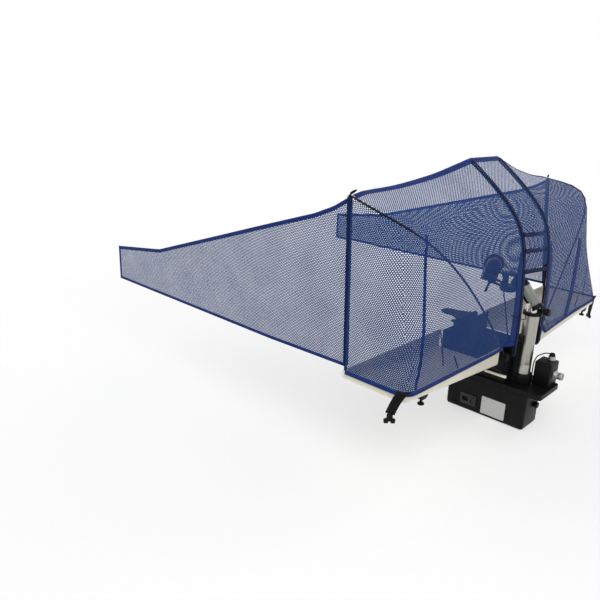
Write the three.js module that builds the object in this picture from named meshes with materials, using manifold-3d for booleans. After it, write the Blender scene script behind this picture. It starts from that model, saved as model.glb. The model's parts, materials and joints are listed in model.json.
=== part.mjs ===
// Table tennis robot with its ball catching net, hung on the end of a table.
// Millimetres, +X away from the table, +Y to the far side, +Z up. The origin lies
// on the hook's rubber pad, above the middle of the table's end edge.
import * as THREE from 'three';
import { mergeVertices } from 'three/addons/utils/BufferGeometryUtils.js';
import Module from 'manifold-3d';

const wasm = await Module();
wasm.setup();

// Table, ball and general clearances
const tableWidth = 1525;
const tableThickness = 25;
const courtNetDistance = 1370;
const ballDiameter = 40;
const gap = 0.3;
const overrun = 6;

// Base housing
const baseSetback = 12;
const baseLength = 330;
const baseWidth = 170;
const baseFarSide = 42;
const baseHeight = 144;
const baseWall = 3;
const baseFrontCorner = 8;
const baseRearCorner = 14;
const baseFootBevel = 10;

// Base lid with its overhanging lip
const lidTopDrop = 192;
const lidThickness = 16;
const lidCorner = 14;
const lidEdgeBevel = 1.6;
const lidRimWidth = 3;
const lidRimHeight = 3;

// Service panel on the near side, with the mains inlet and its rocker
const panelMargin = 44;
const panelLength = 232;
const panelRecess = 1.5;
const panelFootLand = 9;
const panelTopLand = 3;
const panelNotchLength = 42;
const panelNotchHeight = 34;
const inletSetIn = 20;
const inletRise = 26;
const inletFlangeLength = 68;
const inletFlangeHeight = 44;
const inletFlangeThickness = 2.5;
const inletBodyMargin = 4;
const inletBodyDepth = 30;
const inletSocketLength = 26;
const inletSocketHeight = 19;
const inletSocketDepth = 16;
const inletSocketCorner = 4;
const inletPinLength = 10;
const inletPinThickness = 2;
const inletPinHeight = 6;
const inletPinSpacing = 7;
const rockerLength = 15;
const rockerHeight = 26;
const rockerDepth = 9;
const rockerPlay = 0.4;
const rockerProud = 3;
const rockerTilt = 8;
const ovalBossLength = 28;
const ovalBossHeight = 13;
const ovalBossProud = 1;
const ovalBossSetIn = 55;
const ovalBossDrop = 11;

// Screw knob under the lip at the rear
const coverKnobRadius = 12;
const coverKnobLength = 14;
const coverKnobOffset = 0;
const coverKnobDrop = 58;
const coverShankRadius = 4;
const knobFluteRadius = 2.4;
const knobFluteCount = 10;
const knobEdgeShare = 0.12;

// Feed works inside the base
const wheelFromBase = 128;
const feedWheelRadius = 53;
const feedWheelHeight = 30;
const feedWheelDrop = 16;
const feedPocketCount = 4;
const feedPocketPlay = 3;
const feedHubRadius = 14;
const feedPlateThickness = 3;
const feedPlateWidth = 114;
const feedMotorRadius = 22;
const feedMotorLength = 52;
const feedShaftRadius = 4;
const gearboxLength = 44;
const gearboxWidth = 40;
const gearboxHeight = 16;
const supplyLength = 84;
const supplyWidth = 96;
const supplyHeight = 40;
const supplySetIn = 12;

// Housing of the drive and its sockets, on the lid
const driveLength = 64.5;
const driveWidth = 73;
const driveHeight = 96;
const driveCorner = 5;
const driveSetIn = 13.5;
const driveStandOff = 2.5;
const driveOffset = 11.5;
const driveTopBevel = 3;
const headSocketRadius = 13;
const headSocketHeight = 13;
const headSocketFlange = 15;
const headSocketFlangeHeight = 3;
const headSocketBack = 24;
const headSocketSide = 55.5;
const headPlugRadius = 10;
const headPlugHeight = 11;
const remoteFlangeSize = 30;
const remoteFlangeThickness = 3;
const remoteFlangeCorner = 5;
const remoteSocketRadius = 14;
const remoteSocketLength = 30;
const remoteSocketBore = 9;
const remoteSocketDepth = 12;
const remoteGrooveWidth = 4.8;
const remoteGrooveDepth = 1.2;
const remoteSocketRise = 48;
const remoteSocketSide = 38.5;
const leadRadius = 2.4;
const leadFootBack = 25;
const leadFootSide = 30;

// Hopper between the trays
const hopperStart = 18;
const hopperLength = 223.5;
const hopperWall = 3;
const hopperRimDrop = 8;
const hopperMouthHalf = 180;
const hopperShoulderDrop = 90;
const hopperThroatNear = 78;
const hopperThroatFar = 38;
const hopperThroatDrop = 150;
const hopperRibWidth = 4;
const hopperRibHeight = 3;
const hopperRibStart = 62;
const hopperRibSpacing = 30;
const hopperRibCount = 2;
const socketWall = 4;
const ribSocketLength = 42;
const rodSocketLength = 30;
const rodSocketWidth = 24;
const rodSocketDepth = 26;

// Cream rails at the foot of the hopper
const railLength = 88;
const railHeight = 10;
const railThickness = 8;
const railLift = 25.5;
const railStart = 163;

// Ball pole and its cradle
const poleStandOff = 9;
const poleRadius = 27.5;
const poleWall = 2;
const poleTopRise = 90;
const poleSeamRise = 78;
const poleSeamWidth = 2;
const poleSeamDepth = 0.6;
const cradleArm = 6;
const cradleTopDrop = 20;
const cradleSetBack = 14;
const cradleSocketHeight = 40;

// Collar with its clamp knob
const collarWall = 5;
const collarHeight = 7;
const collarSkirt = 6;
const collarLugLength = 18;
const collarLugRadius = 7;
const collarLugRise = 9.5;
const clampKnobRadius = 13;
const clampKnobLength = 22;
const clampShankRadius = 3;

// Neck: bright inner tube, slanted feed elbow and its clear liner
const neckRadius = 25.2;
const neckWall = 2;
const neckInsertion = 75;
const neckTravel = 40;
const elbowRadius = 25;
const elbowFrameWall = 2;
const linerWall = 1.5;
const elbowCrossRise = 132;
const elbowLowReach = 18;
const elbowLowDrop = 21;
const elbowKneeReach = 41;
const elbowKneeRise = 47;
const elbowOutletRise = 196;
const elbowEndLength = 9;
const elbowSillDrop = 8.5;
const elbowLinerEnd = 4;
const elbowRimLength = 14;

// Turret that carries the head
const turretFromTable = 172;
const turretRadius = 31;
const turretWall = 4;
const turretBaseDrop = 44;
const turretBaseHeight = 17.2;
const turretFloorHeight = 4;
const turretInnerHeight = 44.8;
const turretCapHeight = 4;
const turretMouthHalfAngle = 96;
const turretWindowRadius = 22;
const headYaw = 27;
const yokeArmThickness = 4;
const yokeArmOffset = 26.5;
const yokeArmHeight = 11;
const yokePivotReach = 70;
const yokePivotDrop = 14.4;

// Throwing head, measured along its own barrel
const headTilt = 13;
const barrelAxisDrop = 7.4;
const barrelStart = 46;
const barrelEnd = 98;
const barrelRadius = 23.5;
const barrelBore = 21.5;
const nozzleLength = 5.5;
const nozzleRadius = 24.8;
const wheelAlong = 74;
const wheelAbove = 44.5;
const wheelRadius = 28;
const wheelWidth = 14;
const wheelGroove = 3;
const wheelHubRadius = 18;
const wheelShaftRadius = 3;
const wheelRunning = 2;
const backPlateOffset = 11;
const backPlateThickness = 4;
const backPlateRadius = 37;
const motorPlateOffset = 10.3;
const motorPlateThickness = 3;
const motorRadius = 24;
const motorLength = 22;
const guardWall = 3.2;
const guardWidth = 24;
const guardStartAngle = 60;
const guardSweepAngle = 124;
const leverHubRadius = 8;
const leverHubLength = 9;
const leverLength = 41;
const leverWidth = 8;
const leverThickness = 5;
const pivotPinRadius = 4;

// Hook and screw clamp on the table
const hookReach = 98;
const hookTipHalf = 30;
const hookRootHalf = 59;
const hookThickness = 6;
const hookPadThickness = 4;
const hookPadMargin = 6;
const hookSkirtSetBack = 3;
const hookBackGap = 9;
const hookBackHalf = 88;
const hookBackDrop = 104;
const hookBackCorner = 10;
const jawReach = 62;
const jawHalf = 22;
const jawThickness = 8;
const screwFromEdge = 36;
const screwRadius = 5;
const screwKnobRadius = 17;
const screwKnobLength = 16;
const screwTail = 30;
const padRadius = 15;
const padThickness = 6;
const padClearance = 1;

// Catching trays
const trayStart = 3;
const trayDepth = 252;
const trayRimDrop = 10;
const trayWall = 3;
const trayOuterDrop = 36;
const trayInnerDrop = 81.5;
const trayBottomRadius = 10;
const trayCornerRadius = 34;
const trayRimBead = 2;
const footBracketLength = 40;
const footBracketDepth = 22;
const footBracketHeight = 12;
const footFromCorner = 104;
const footSetIn = 14;
const footShankRadius = 4;
const footDiscRadius = 11;
const footDiscHeight = 7;
const footShankLength = 14;

// Corner poles, ribs and bow rods
const cornerPoleRadius = 5;
const cornerFootSetIn = 7;
const cornerFootForward = 10;
const cornerSocketLength = 26;
const cornerSocketWall = 4;
const nearTopForward = -29;
const nearTopSide = 735;
const nearTopRise = 551;
const farTopForward = -26;
const farTopSide = 692;
const farTopRise = 521;
const ribRadius = 4;
const ribOffset = 104;
const ribFoot = 272;
const ribTipForward = 12;
const ribTipRise = 627;
const ribFootDrop = 54;
const bowRadius = 3.5;
const bowFootForward = 258;
const bowFootSide = 129;
const bowFootDrop = 62;
const bowSpan = 560;
const bowRise = 585;
const bowReach = 308;

// Cloth of the net
const clothThickness = 1.4;
const clothStandOff = 2.2;
const hemStandOff = 2.6;
const hemRise = -11;
const hemSideRows = 7;
const hemCornerRows = 3;
const hoodFootRise = -8;
const farHemDrop = 26;
const clothSplit = 0.4;
const hoodFoldDepth = 7;
const hoodFoldCount = 5;
const mouthSag = 22;
const backPanelFootRise = 258;
const sideNetThickness = 2;
const sideNetStandOff = 7;
const sideNetFoot = 3;
const sideNetEndRise = 158;
const sideNetEndSetIn = 10;
const sideNetTurn = 4;

// Straps, buckles and elastic
const strapWidth = 30;
const strapThickness = 2.4;
const strapRise = 12;
const strapTuck = 1;
const nearStrapStandOff = 16;
const farStrapStandOff = 8;
const nearStrapLean = 30;
const nearStrapSwing = 38;
const nearStrapHang = 60;
const farStrapLean = 12;
const farStrapSwing = 0;
const farStrapHang = 81;
const buckleWidth = 36;
const buckleStemWidth = 18;
const buckleLength = 30;
const buckleStemLength = 14;
const buckleThickness = 7;
const elasticRadius = 1.5;
const nearElasticAngle = -2;
const farElasticAngle = 0.7;

// Worked out from the sizes above
const halfTable = tableWidth / 2;
const hookBackThickness = hopperStart - gap - hookBackGap;
const baseEnd = baseSetback + baseLength;
const halfBase = baseWidth / 2;
const baseMiddle = (baseFarSide - halfBase) / 2;
const lidTop = -lidTopDrop;
const lidBottom = lidTop - lidThickness;
const baseTop = lidBottom - gap;
const baseBottom = baseTop - baseHeight;
const hopperEnd = hopperStart + hopperLength;
const poleFromTable = hopperEnd + poleStandOff + poleRadius;
const driveX0 = poleFromTable + poleRadius + cradleArm + driveStandOff;
const driveX1 = driveX0 + driveLength;
const lidEnd = driveX1 + driveSetIn;
const hopperFoot = lidTop + gap;
const poleInner = poleRadius - poleWall;
const collarTop = poleTopRise + collarHeight;
const elbowFloor = collarTop + gap;
const turretBase = elbowOutletRise - turretBaseDrop;
const turretFloor = turretBase + turretBaseHeight + gap;
const turretInside = turretFloor + turretFloorHeight;
const trayEnd = trayStart + trayDepth;
const trayInner = hopperMouthHalf + gap;
const trayOuter = halfTable;
const feedWheelAxis = baseSetback + wheelFromBase;
const feedWheelTop = lidBottom - feedWheelDrop;
const feedPlateTop = feedWheelTop - feedWheelHeight - feedPocketPlay;

// Finishes
function finish(color, roughness, metalness = 0) {
  return new THREE.MeshStandardMaterial({ color, roughness, metalness });
}

const blackPlastic = finish(0x1b1b1c, 0.55);
const softBlack = finish(0x141415, 0.7);
const creamPlastic = finish(0xd9d4bb, 0.5);
const whitePlastic = finish(0xe9ebec, 0.4);
const satinAluminium = finish(0xb4b0a6, 0.42, 0.9);
const brightSteel = finish(0xc9cacc, 0.18, 1);
const zincSteel = finish(0x9aa3a8, 0.35, 0.9);
const blackRod = finish(0x101216, 0.5);
const blueNet = finish(0x2b4c9b, 0.9);
const blackWebbing = finish(0x121212, 0.9);
const smokyClear = finish(0x6f7678, 0.25);
const orangeTyre = finish(0xd97b3a, 0.7);
const copperDark = finish(0x4b4a47, 0.5, 0.6);

// Closed geometry helpers
function facingOut(geometry) {
  const indexed = geometry.index ? geometry : mergeVertices(geometry);
  const position = indexed.attributes.position;
  const index = indexed.index.array;
  const [a, b, c] = [new THREE.Vector3(), new THREE.Vector3(), new THREE.Vector3()];
  let volume = 0;
  for (let i = 0; i < index.length; i += 3) {
    a.fromBufferAttribute(position, index[i]);
    b.fromBufferAttribute(position, index[i + 1]);
    c.fromBufferAttribute(position, index[i + 2]);
    volume += a.dot(b.cross(c));
  }
  if (volume < 0) {
    for (let i = 0; i < index.length; i += 3) [index[i], index[i + 1]] = [index[i + 1], index[i]];
  }
  return indexed;
}

function welded(geometry) {
  const bare = geometry.clone();
  for (const name of Object.keys(bare.attributes)) {
    if (name !== 'position') bare.deleteAttribute(name);
  }
  return facingOut(mergeVertices(bare));
}

function toSolid(geometry) {
  const closed = welded(geometry);
  return new wasm.Manifold(new wasm.Mesh({
    numProp: 3,
    vertProperties: new Float32Array(closed.attributes.position.array),
    triVerts: new Uint32Array(closed.index.array),
  }));
}

function toGeometry(solid) {
  const mesh = solid.getMesh();
  const geometry = new THREE.BufferGeometry();
  geometry.setAttribute('position', new THREE.BufferAttribute(new Float32Array(mesh.vertProperties), 3));
  geometry.setIndex(new THREE.BufferAttribute(new Uint32Array(mesh.triVerts), 1));
  return geometry;
}

function join(...pieces) {
  return toGeometry(pieces.map(toSolid).reduce((whole, piece) => whole.add(piece)));
}

function cut(body, ...tools) {
  return toGeometry(tools.map(toSolid).reduce((rest, tool) => rest.subtract(tool), toSolid(body)));
}

function common(body, tool) {
  return toGeometry(toSolid(body).intersect(toSolid(tool)));
}

// Basic forms, each with its axis along +Z and its foot at z = 0
function polygon(points) {
  return new THREE.Shape(points.map(([x, y]) => new THREE.Vector2(x, y)));
}

function roundedRectangle(x0, x1, y0, y1, radius) {
  const shape = new THREE.Shape();
  shape.moveTo(x0 + radius, y0);
  shape.lineTo(x1 - radius, y0);
  shape.absarc(x1 - radius, y0 + radius, radius, -Math.PI / 2, 0);
  shape.lineTo(x1, y1 - radius);
  shape.absarc(x1 - radius, y1 - radius, radius, 0, Math.PI / 2);
  shape.lineTo(x0 + radius, y1);
  shape.absarc(x0 + radius, y1 - radius, radius, Math.PI / 2, Math.PI);
  shape.lineTo(x0, y0 + radius);
  shape.absarc(x0 + radius, y0 + radius, radius, Math.PI, Math.PI * 1.5);
  return shape;
}

function prism(shape, height, curveSegments = 4) {
  return new THREE.ExtrudeGeometry(shape, { depth: height, bevelEnabled: false, curveSegments });
}

function box(x0, x1, y0, y1, z0, z1) {
  return new THREE.BoxGeometry(x1 - x0, y1 - y0, z1 - z0)
    .translate((x0 + x1) / 2, (y0 + y1) / 2, (z0 + z1) / 2);
}

function turned(profile, sides = 32) {
  const points = profile.map(([r, z]) => new THREE.Vector2(r, z));
  return new THREE.LatheGeometry(points, sides).rotateX(Math.PI / 2);
}

function rod(radius, length, sides = 24) {
  return turned([[0, 0], [radius, 0], [radius, length], [0, length]], sides);
}

function pipe(outer, inner, length, sides = 32) {
  return turned([[inner, 0], [outer, 0], [outer, length], [inner, length], [inner, 0]], sides);
}

// Turns a form that stands along +Z so that it points along another axis
function alongX(geometry) {
  return geometry.rotateY(Math.PI / 2);
}

function alongY(geometry) {
  return geometry.rotateX(-Math.PI / 2);
}

// A shape drawn in the XZ plane, given depth from y0 towards +Y
function wallFromSide(shape, y0, depth, curveSegments = 4) {
  return prism(shape, depth, curveSegments).rotateX(Math.PI / 2).translate(0, y0 + depth, 0);
}

// A shape drawn in the YZ plane, given depth from x0 towards +X
function wallFromEnd(shape, x0, depth, curveSegments = 4) {
  return prism(shape, depth, curveSegments).rotateY(Math.PI / 2).rotateX(Math.PI / 2).translate(x0, 0, 0);
}

function sweep(path, radius, steps, sides = 8) {
  const circle = new THREE.Shape().absarc(0, 0, radius, 0, Math.PI * 2);
  return new THREE.ExtrudeGeometry(circle, {
    extrudePath: path, steps, curveSegments: sides / 2, bevelEnabled: false,
  });
}

function smoothPath(points) {
  return new THREE.CatmullRomCurve3(points.map(([x, y, z]) => new THREE.Vector3(x, y, z)));
}

function straight(from, to) {
  return new THREE.LineCurve3(new THREE.Vector3(...from), new THREE.Vector3(...to));
}

// Joins rings of points, each a closed convex outline, and caps both ends
function loft(rings) {
  const count = rings[0].length;
  const points = rings.flat();
  const index = [];
  for (let ring = 0; ring < rings.length - 1; ring += 1) {
    for (let i = 0; i < count; i += 1) {
      const next = (i + 1) % count;
      const [a, b] = [ring * count + i, ring * count + next];
      index.push(a, b, b + count, a, b + count, a + count);
    }
  }
  const last = (rings.length - 1) * count;
  for (let i = 1; i < count - 1; i += 1) {
    index.push(0, i + 1, i, last, last + i, last + i + 1);
  }
  return fromPoints(points, index);
}

function fromPoints(points, index) {
  const geometry = new THREE.BufferGeometry().setFromPoints(points);
  geometry.setIndex(index);
  return facingOut(geometry);
}

// Unit normals of a grid of points, rows by columns
function gridNormals(grid) {
  const rows = grid.length;
  const columns = grid[0].length;
  return grid.map((row, i) => row.map((point, j) => {
    const along = new THREE.Vector3()
      .subVectors(grid[Math.min(i + 1, rows - 1)][j], grid[Math.max(i - 1, 0)][j]);
    const across = new THREE.Vector3().subVectors(row[Math.min(j + 1, columns - 1)], row[Math.max(j - 1, 0)]);
    return along.cross(across).normalize();
  }));
}

// Moves a grid of points along its own normals
function offsetGrid(grid, distance) {
  const normals = gridNormals(grid);
  return grid.map((row, i) => row.map((point, j) => point.clone().addScaledVector(normals[i][j], distance)));
}

// Index pairs round the outer edge of a grid
function rimOf(rows, columns) {
  const at = (i, j) => i * columns + j;
  const edge = [];
  for (let i = 0; i < rows - 1; i += 1) edge.push(at(i, 0));
  for (let j = 0; j < columns - 1; j += 1) edge.push(at(rows - 1, j));
  for (let i = rows - 1; i > 0; i -= 1) edge.push(at(i, columns - 1));
  for (let j = columns - 1; j > 0; j -= 1) edge.push(at(0, j));
  return edge.map((a, k) => [a, edge[(k + 1) % edge.length]]);
}

// A cloth of even thickness over a grid of points
function clothSheet(grid, thickness) {
  const rows = grid.length;
  const columns = grid[0].length;
  const points = [...offsetGrid(grid, thickness / 2).flat(), ...offsetGrid(grid, -thickness / 2).flat()];
  const under = rows * columns;
  const at = (i, j) => i * columns + j;
  const index = [];
  const quad = (a, b, c, d) => index.push(a, b, c, a, c, d);
  for (let i = 0; i < rows - 1; i += 1) {
    for (let j = 0; j < columns - 1; j += 1) {
      const [p, q, r, s] = [at(i, j), at(i + 1, j), at(i + 1, j + 1), at(i, j + 1)];
      quad(p, q, r, s);
      quad(p + under, s + under, r + under, q + under);
    }
  }
  rimOf(rows, columns).forEach(([a, b]) => quad(b, a, a + under, b + under));
  return fromPoints(points, index);
}

// A net over a grid of points: every cell of the grid has one open gap
function openNet(grid, thickness, strandShare) {
  const rows = grid.length;
  const columns = grid[0].length;
  const faces = [offsetGrid(grid, thickness / 2), offsetGrid(grid, -thickness / 2)];
  const points = faces.flatMap((face) => face.flat());
  const under = rows * columns;
  const at = (i, j) => i * columns + j;
  const index = [];
  const quad = (a, b, c, d) => index.push(a, b, c, a, c, d);
  const steps = [[0, 0], [1, 0], [1, 1], [0, 1]];
  for (let i = 0; i < rows - 1; i += 1) {
    for (let j = 0; j < columns - 1; j += 1) {
      const firstHole = points.length;
      for (const face of faces) {
        const corners = steps.map(([di, dj]) => face[i + di][j + dj]);
        const middle = corners.reduce((sum, p) => sum.clone().add(p)).multiplyScalar(1 / corners.length);
        for (const corner of corners) points.push(corner.clone().lerp(middle, strandShare));
      }
      steps.forEach(([di, dj], k) => {
        const [ni, nj] = steps[(k + 1) % steps.length];
        const a = at(i + di, j + dj);
        const b = at(i + ni, j + nj);
        const p = firstHole + k;
        const q = firstHole + (k + 1) % steps.length;
        quad(a, b, q, p);
        quad(p + steps.length, q + steps.length, b + under, a + under);
        quad(p, q, q + steps.length, p + steps.length);
      });
    }
  }
  rimOf(rows, columns).forEach(([a, b]) => quad(b, a, a + under, b + under));
  return fromPoints(points, index);
}

// A flat band that follows points, with its width along one fixed direction
function ribbon(points, across, width, thickness) {
  const half = across.clone().multiplyScalar(width / 2);
  const last = points.length - 1;
  const rings = points.map((point, i) => {
    const along = new THREE.Vector3().subVectors(points[Math.min(i + 1, last)], points[Math.max(i - 1, 0)]);
    const out = along.cross(half).normalize().multiplyScalar(thickness / 2);
    return [[1, 1], [1, -1], [-1, -1], [-1, 1]].map(([side, face]) =>
      point.clone().addScaledVector(half, side).addScaledVector(out, face));
  });
  return loft(rings);
}

// A round knob with flutes, its foot at z = 0
function flutedKnob(radius, length) {
  const edge = radius * knobEdgeShare;
  const flutesAt = radius + knobFluteRadius * knobEdgeShare * 3;
  const blank = turned([
    [0, 0], [radius - edge, 0], [radius, edge], [radius, length - edge], [radius - edge, length], [0, length],
  ], 20);
  const flutes = [];
  for (let i = 0; i < knobFluteCount; i += 1) {
    const angle = (i / knobFluteCount) * Math.PI * 2;
    flutes.push(rod(knobFluteRadius, length + overrun * 2, 8)
      .translate(flutesAt * Math.cos(angle), flutesAt * Math.sin(angle), -overrun));
  }
  return cut(blank, ...flutes);
}

const robot = new THREE.Group();

function place(name, geometry, material, parent = robot) {
  const mesh = new THREE.Mesh(welded(geometry), material);
  mesh.name = name;
  parent.add(mesh);
  return mesh;
}

// Base housing: an open tub with rounded corners and the cut-out of the service panel
function basePlan(inset, frontCorner, rearCorner) {
  const [x0, x1] = [baseSetback + inset, baseEnd - inset];
  const [near, far] = [-halfBase + inset, baseFarSide - inset];
  const shape = new THREE.Shape();
  shape.moveTo(x0 + frontCorner, near);
  shape.lineTo(x1 - rearCorner, near);
  shape.absarc(x1 - rearCorner, near + rearCorner, rearCorner, -Math.PI / 2, 0);
  shape.absarc(x1 - rearCorner, far - rearCorner, rearCorner, 0, Math.PI / 2);
  shape.absarc(x0 + frontCorner, far - frontCorner, frontCorner, Math.PI / 2, Math.PI);
  shape.absarc(x0 + frontCorner, near + frontCorner, frontCorner, Math.PI, Math.PI * 1.5);
  return shape;
}

function panelOutline(inset) {
  const x0 = baseSetback + panelMargin + inset;
  const x1 = baseSetback + panelMargin + panelLength - inset;
  const z0 = baseBottom + panelFootLand + inset;
  const z1 = baseTop - panelTopLand - inset;
  return polygon([
    [x0, z0], [x1, z0], [x1, z1 - panelNotchHeight], [x1 - panelNotchLength, z1 - panelNotchHeight],
    [x1 - panelNotchLength, z1], [x0, z1],
  ]);
}

const coverKnobRise = lidBottom - coverKnobDrop;

function baseHousing() {
  const bevel = {
    bevelEnabled: true, bevelThickness: baseFootBevel, bevelSize: baseFootBevel, bevelSegments: 2,
  };
  const outer = new THREE.ExtrudeGeometry(
    basePlan(baseFootBevel, baseFrontCorner / 4, baseRearCorner - baseFootBevel),
    { depth: baseHeight, curveSegments: 3, ...bevel }).translate(0, 0, baseBottom + baseFootBevel);
  const hollow = basePlan(baseWall, baseFrontCorner - baseWall, baseRearCorner - baseWall);
  const inner = prism(hollow, baseHeight, 3)
    .translate(0, 0, baseBottom + baseFootBevel);
  const above = box(0, lidEnd, -baseWidth, baseWidth, baseTop, baseTop + baseHeight);
  const panelHole = wallFromSide(panelOutline(0), -halfBase - overrun, overrun * 2 + baseWall);
  const knobHole = alongX(rod(coverShankRadius + gap, baseWall + overrun * 2, 12))
    .translate(baseEnd - baseWall - overrun, coverKnobOffset, coverKnobRise);
  const oval = alongY(rod(ovalBossHeight / 2, ovalBossProud + gap, 16))
    .scale(ovalBossLength / ovalBossHeight, 1, 1)
    .translate(baseEnd - ovalBossSetIn, -halfBase - ovalBossProud, baseTop - ovalBossDrop);
  return join(cut(outer, above, inner, panelHole, knobHole), oval);
}

// Lid: plate with a lip beyond the housing, a raised rim, the hopper's mouth and the pole's hole
function baseLid() {
  const plan = roundedRectangle(hopperStart, lidEnd, -halfBase, halfBase, lidCorner);
  const plate = prism(plan, lidThickness, 3).translate(0, 0, lidBottom);
  const rimPlan = roundedRectangle(hopperStart, lidEnd, -halfBase, halfBase, lidCorner);
  rimPlan.holes.push(roundedRectangle(
    hopperStart + lidRimWidth, lidEnd - lidRimWidth, -halfBase + lidRimWidth, halfBase - lidRimWidth,
    lidCorner - lidRimWidth));
  const rim = prism(rimPlan, lidRimHeight + gap, 3).translate(0, 0, lidTop - gap);
  const hopperSeat = box(
    hopperStart - overrun, hopperEnd + gap, -hopperThroatNear - gap, hopperThroatFar + gap,
    lidTop, lidTop + lidRimHeight + overrun);
  const driveSeat = box(
    driveX0 - gap, driveX1 + gap, driveOffset - gap, halfBase + overrun,
    lidTop, lidTop + lidRimHeight + overrun);
  const mouth = rod(feedWheelRadius - lidRimWidth, lidThickness + overrun * 2, 32)
    .translate(feedWheelAxis, baseMiddle, lidBottom - overrun);
  const poleHole = rod(poleInner, lidThickness + overrun * 2, 24)
    .translate(poleFromTable, 0, lidBottom - overrun);
  return cut(join(plate, rim), hopperSeat, driveSeat, mouth, poleHole);
}

// Service panel with the cut-out for the inlet
const panelFace = -halfBase + panelRecess;
const inletLeft = baseSetback + panelMargin + inletSetIn;
const inletFoot = baseBottom + inletRise;

function servicePanel() {
  const skin = wallFromSide(panelOutline(gap), panelFace, baseWall);
  const hole = box(
    inletLeft + inletBodyMargin - gap, inletLeft + inletFlangeLength - inletBodyMargin + gap,
    panelFace - overrun, panelFace + baseWall + overrun,
    inletFoot + inletBodyMargin - gap, inletFoot + inletFlangeHeight - inletBodyMargin + gap);
  return cut(skin, hole);
}

const rockerCentreX = inletLeft + inletFlangeLength - inletBodyMargin * 2 - rockerLength / 2;
const inletMiddle = inletFoot + inletFlangeHeight / 2;
const inletFront = panelFace - gap - inletFlangeThickness;

function powerInlet() {
  const flange = box(
    inletLeft, inletLeft + inletFlangeLength, inletFront, panelFace - gap,
    inletFoot, inletFoot + inletFlangeHeight);
  const body = box(
    inletLeft + inletBodyMargin, inletLeft + inletFlangeLength - inletBodyMargin,
    panelFace - gap * 2, panelFace + inletBodyDepth,
    inletFoot + inletBodyMargin, inletFoot + inletFlangeHeight - inletBodyMargin);
  const socketX = inletLeft + inletBodyMargin * 2;
  const half = inletSocketHeight / 2;
  const socketOutline = polygon([
    [socketX, inletMiddle - half], [socketX + inletSocketLength, inletMiddle - half],
    [socketX + inletSocketLength, inletMiddle + half - inletSocketCorner],
    [socketX + inletSocketLength - inletSocketCorner, inletMiddle + half],
    [socketX + inletSocketCorner, inletMiddle + half], [socketX, inletMiddle + half - inletSocketCorner],
  ]);
  const socket = wallFromSide(socketOutline, inletFront - overrun, inletSocketDepth + overrun);
  const rockerWell = box(
    rockerCentreX - rockerLength / 2 - rockerPlay, rockerCentreX + rockerLength / 2 + rockerPlay,
    inletFront - overrun, inletFront + rockerDepth * 2,
    inletMiddle - rockerHeight / 2 - rockerPlay, inletMiddle + rockerHeight / 2 + rockerPlay);
  const pins = [-1, 0, 1].map((side) => box(
    socketX + inletSocketLength / 2 + side * inletPinSpacing - inletPinThickness / 2,
    socketX + inletSocketLength / 2 + side * inletPinSpacing + inletPinThickness / 2,
    inletFront + inletSocketDepth - inletPinLength, inletFront + inletSocketDepth + overrun / 2,
    inletMiddle - inletPinHeight / 2, inletMiddle + inletPinHeight / 2));
  return join(cut(join(flange, body), socket, rockerWell), ...pins);
}

// Rocker: a wedge on a pivot along X, resting in its off position
const rockerPivotY = inletFront + rockerDepth / 2;

function rockerSwitch() {
  const half = rockerHeight / 2 - rockerPlay * 2;
  const tip = rockerProud * 1.6;
  const back = rockerDepth * 0.4;
  const outline = polygon([
    [-tip, half], [-rockerProud * 0.4, 0], [-tip, -half], [back, -half * 0.7], [back, half * 0.7],
  ]);
  return prism(outline, rockerLength).rotateX(Math.PI / 2).rotateZ(Math.PI / 2)
    .rotateX(THREE.MathUtils.degToRad(rockerTilt));
}

// Fluted knob with its shank through the rear wall
function coverKnob() {
  const knob = flutedKnob(coverKnobRadius, coverKnobLength).translate(0, 0, gap);
  const depth = baseWall * 2 + overrun;
  const shank = rod(coverShankRadius, depth, 12).translate(0, 0, gap * 2 - depth);
  return alongX(join(knob, shank));
}

// Feed wheel: a disc with pockets that carry the balls round to the pole
function feedWheel() {
  const pocket = ballDiameter / 2 + feedPocketPlay;
  const blank = rod(feedWheelRadius, feedWheelHeight, 36);
  const pocketsAt = feedWheelRadius - pocket / 2;
  const pockets = [];
  for (let i = 0; i < feedPocketCount; i += 1) {
    const angle = (i / feedPocketCount) * Math.PI * 2;
    pockets.push(rod(pocket, feedWheelHeight + overrun * 2, 16)
      .translate(pocketsAt * Math.cos(angle), pocketsAt * Math.sin(angle), -overrun));
  }
  const coneTip = feedHubRadius * 0.35;
  const cone = turned([[0, 0], [feedHubRadius, 0], [coneTip, feedWheelDrop], [0, feedWheelDrop]], 20)
    .translate(0, 0, feedWheelHeight - gap);
  const shaftHole = rod(feedShaftRadius + gap, feedWheelHeight * 0.6 + overrun, 12).translate(0, 0, -overrun);
  return cut(join(cut(blank, ...pockets), cone), shaftHole);
}

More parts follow.
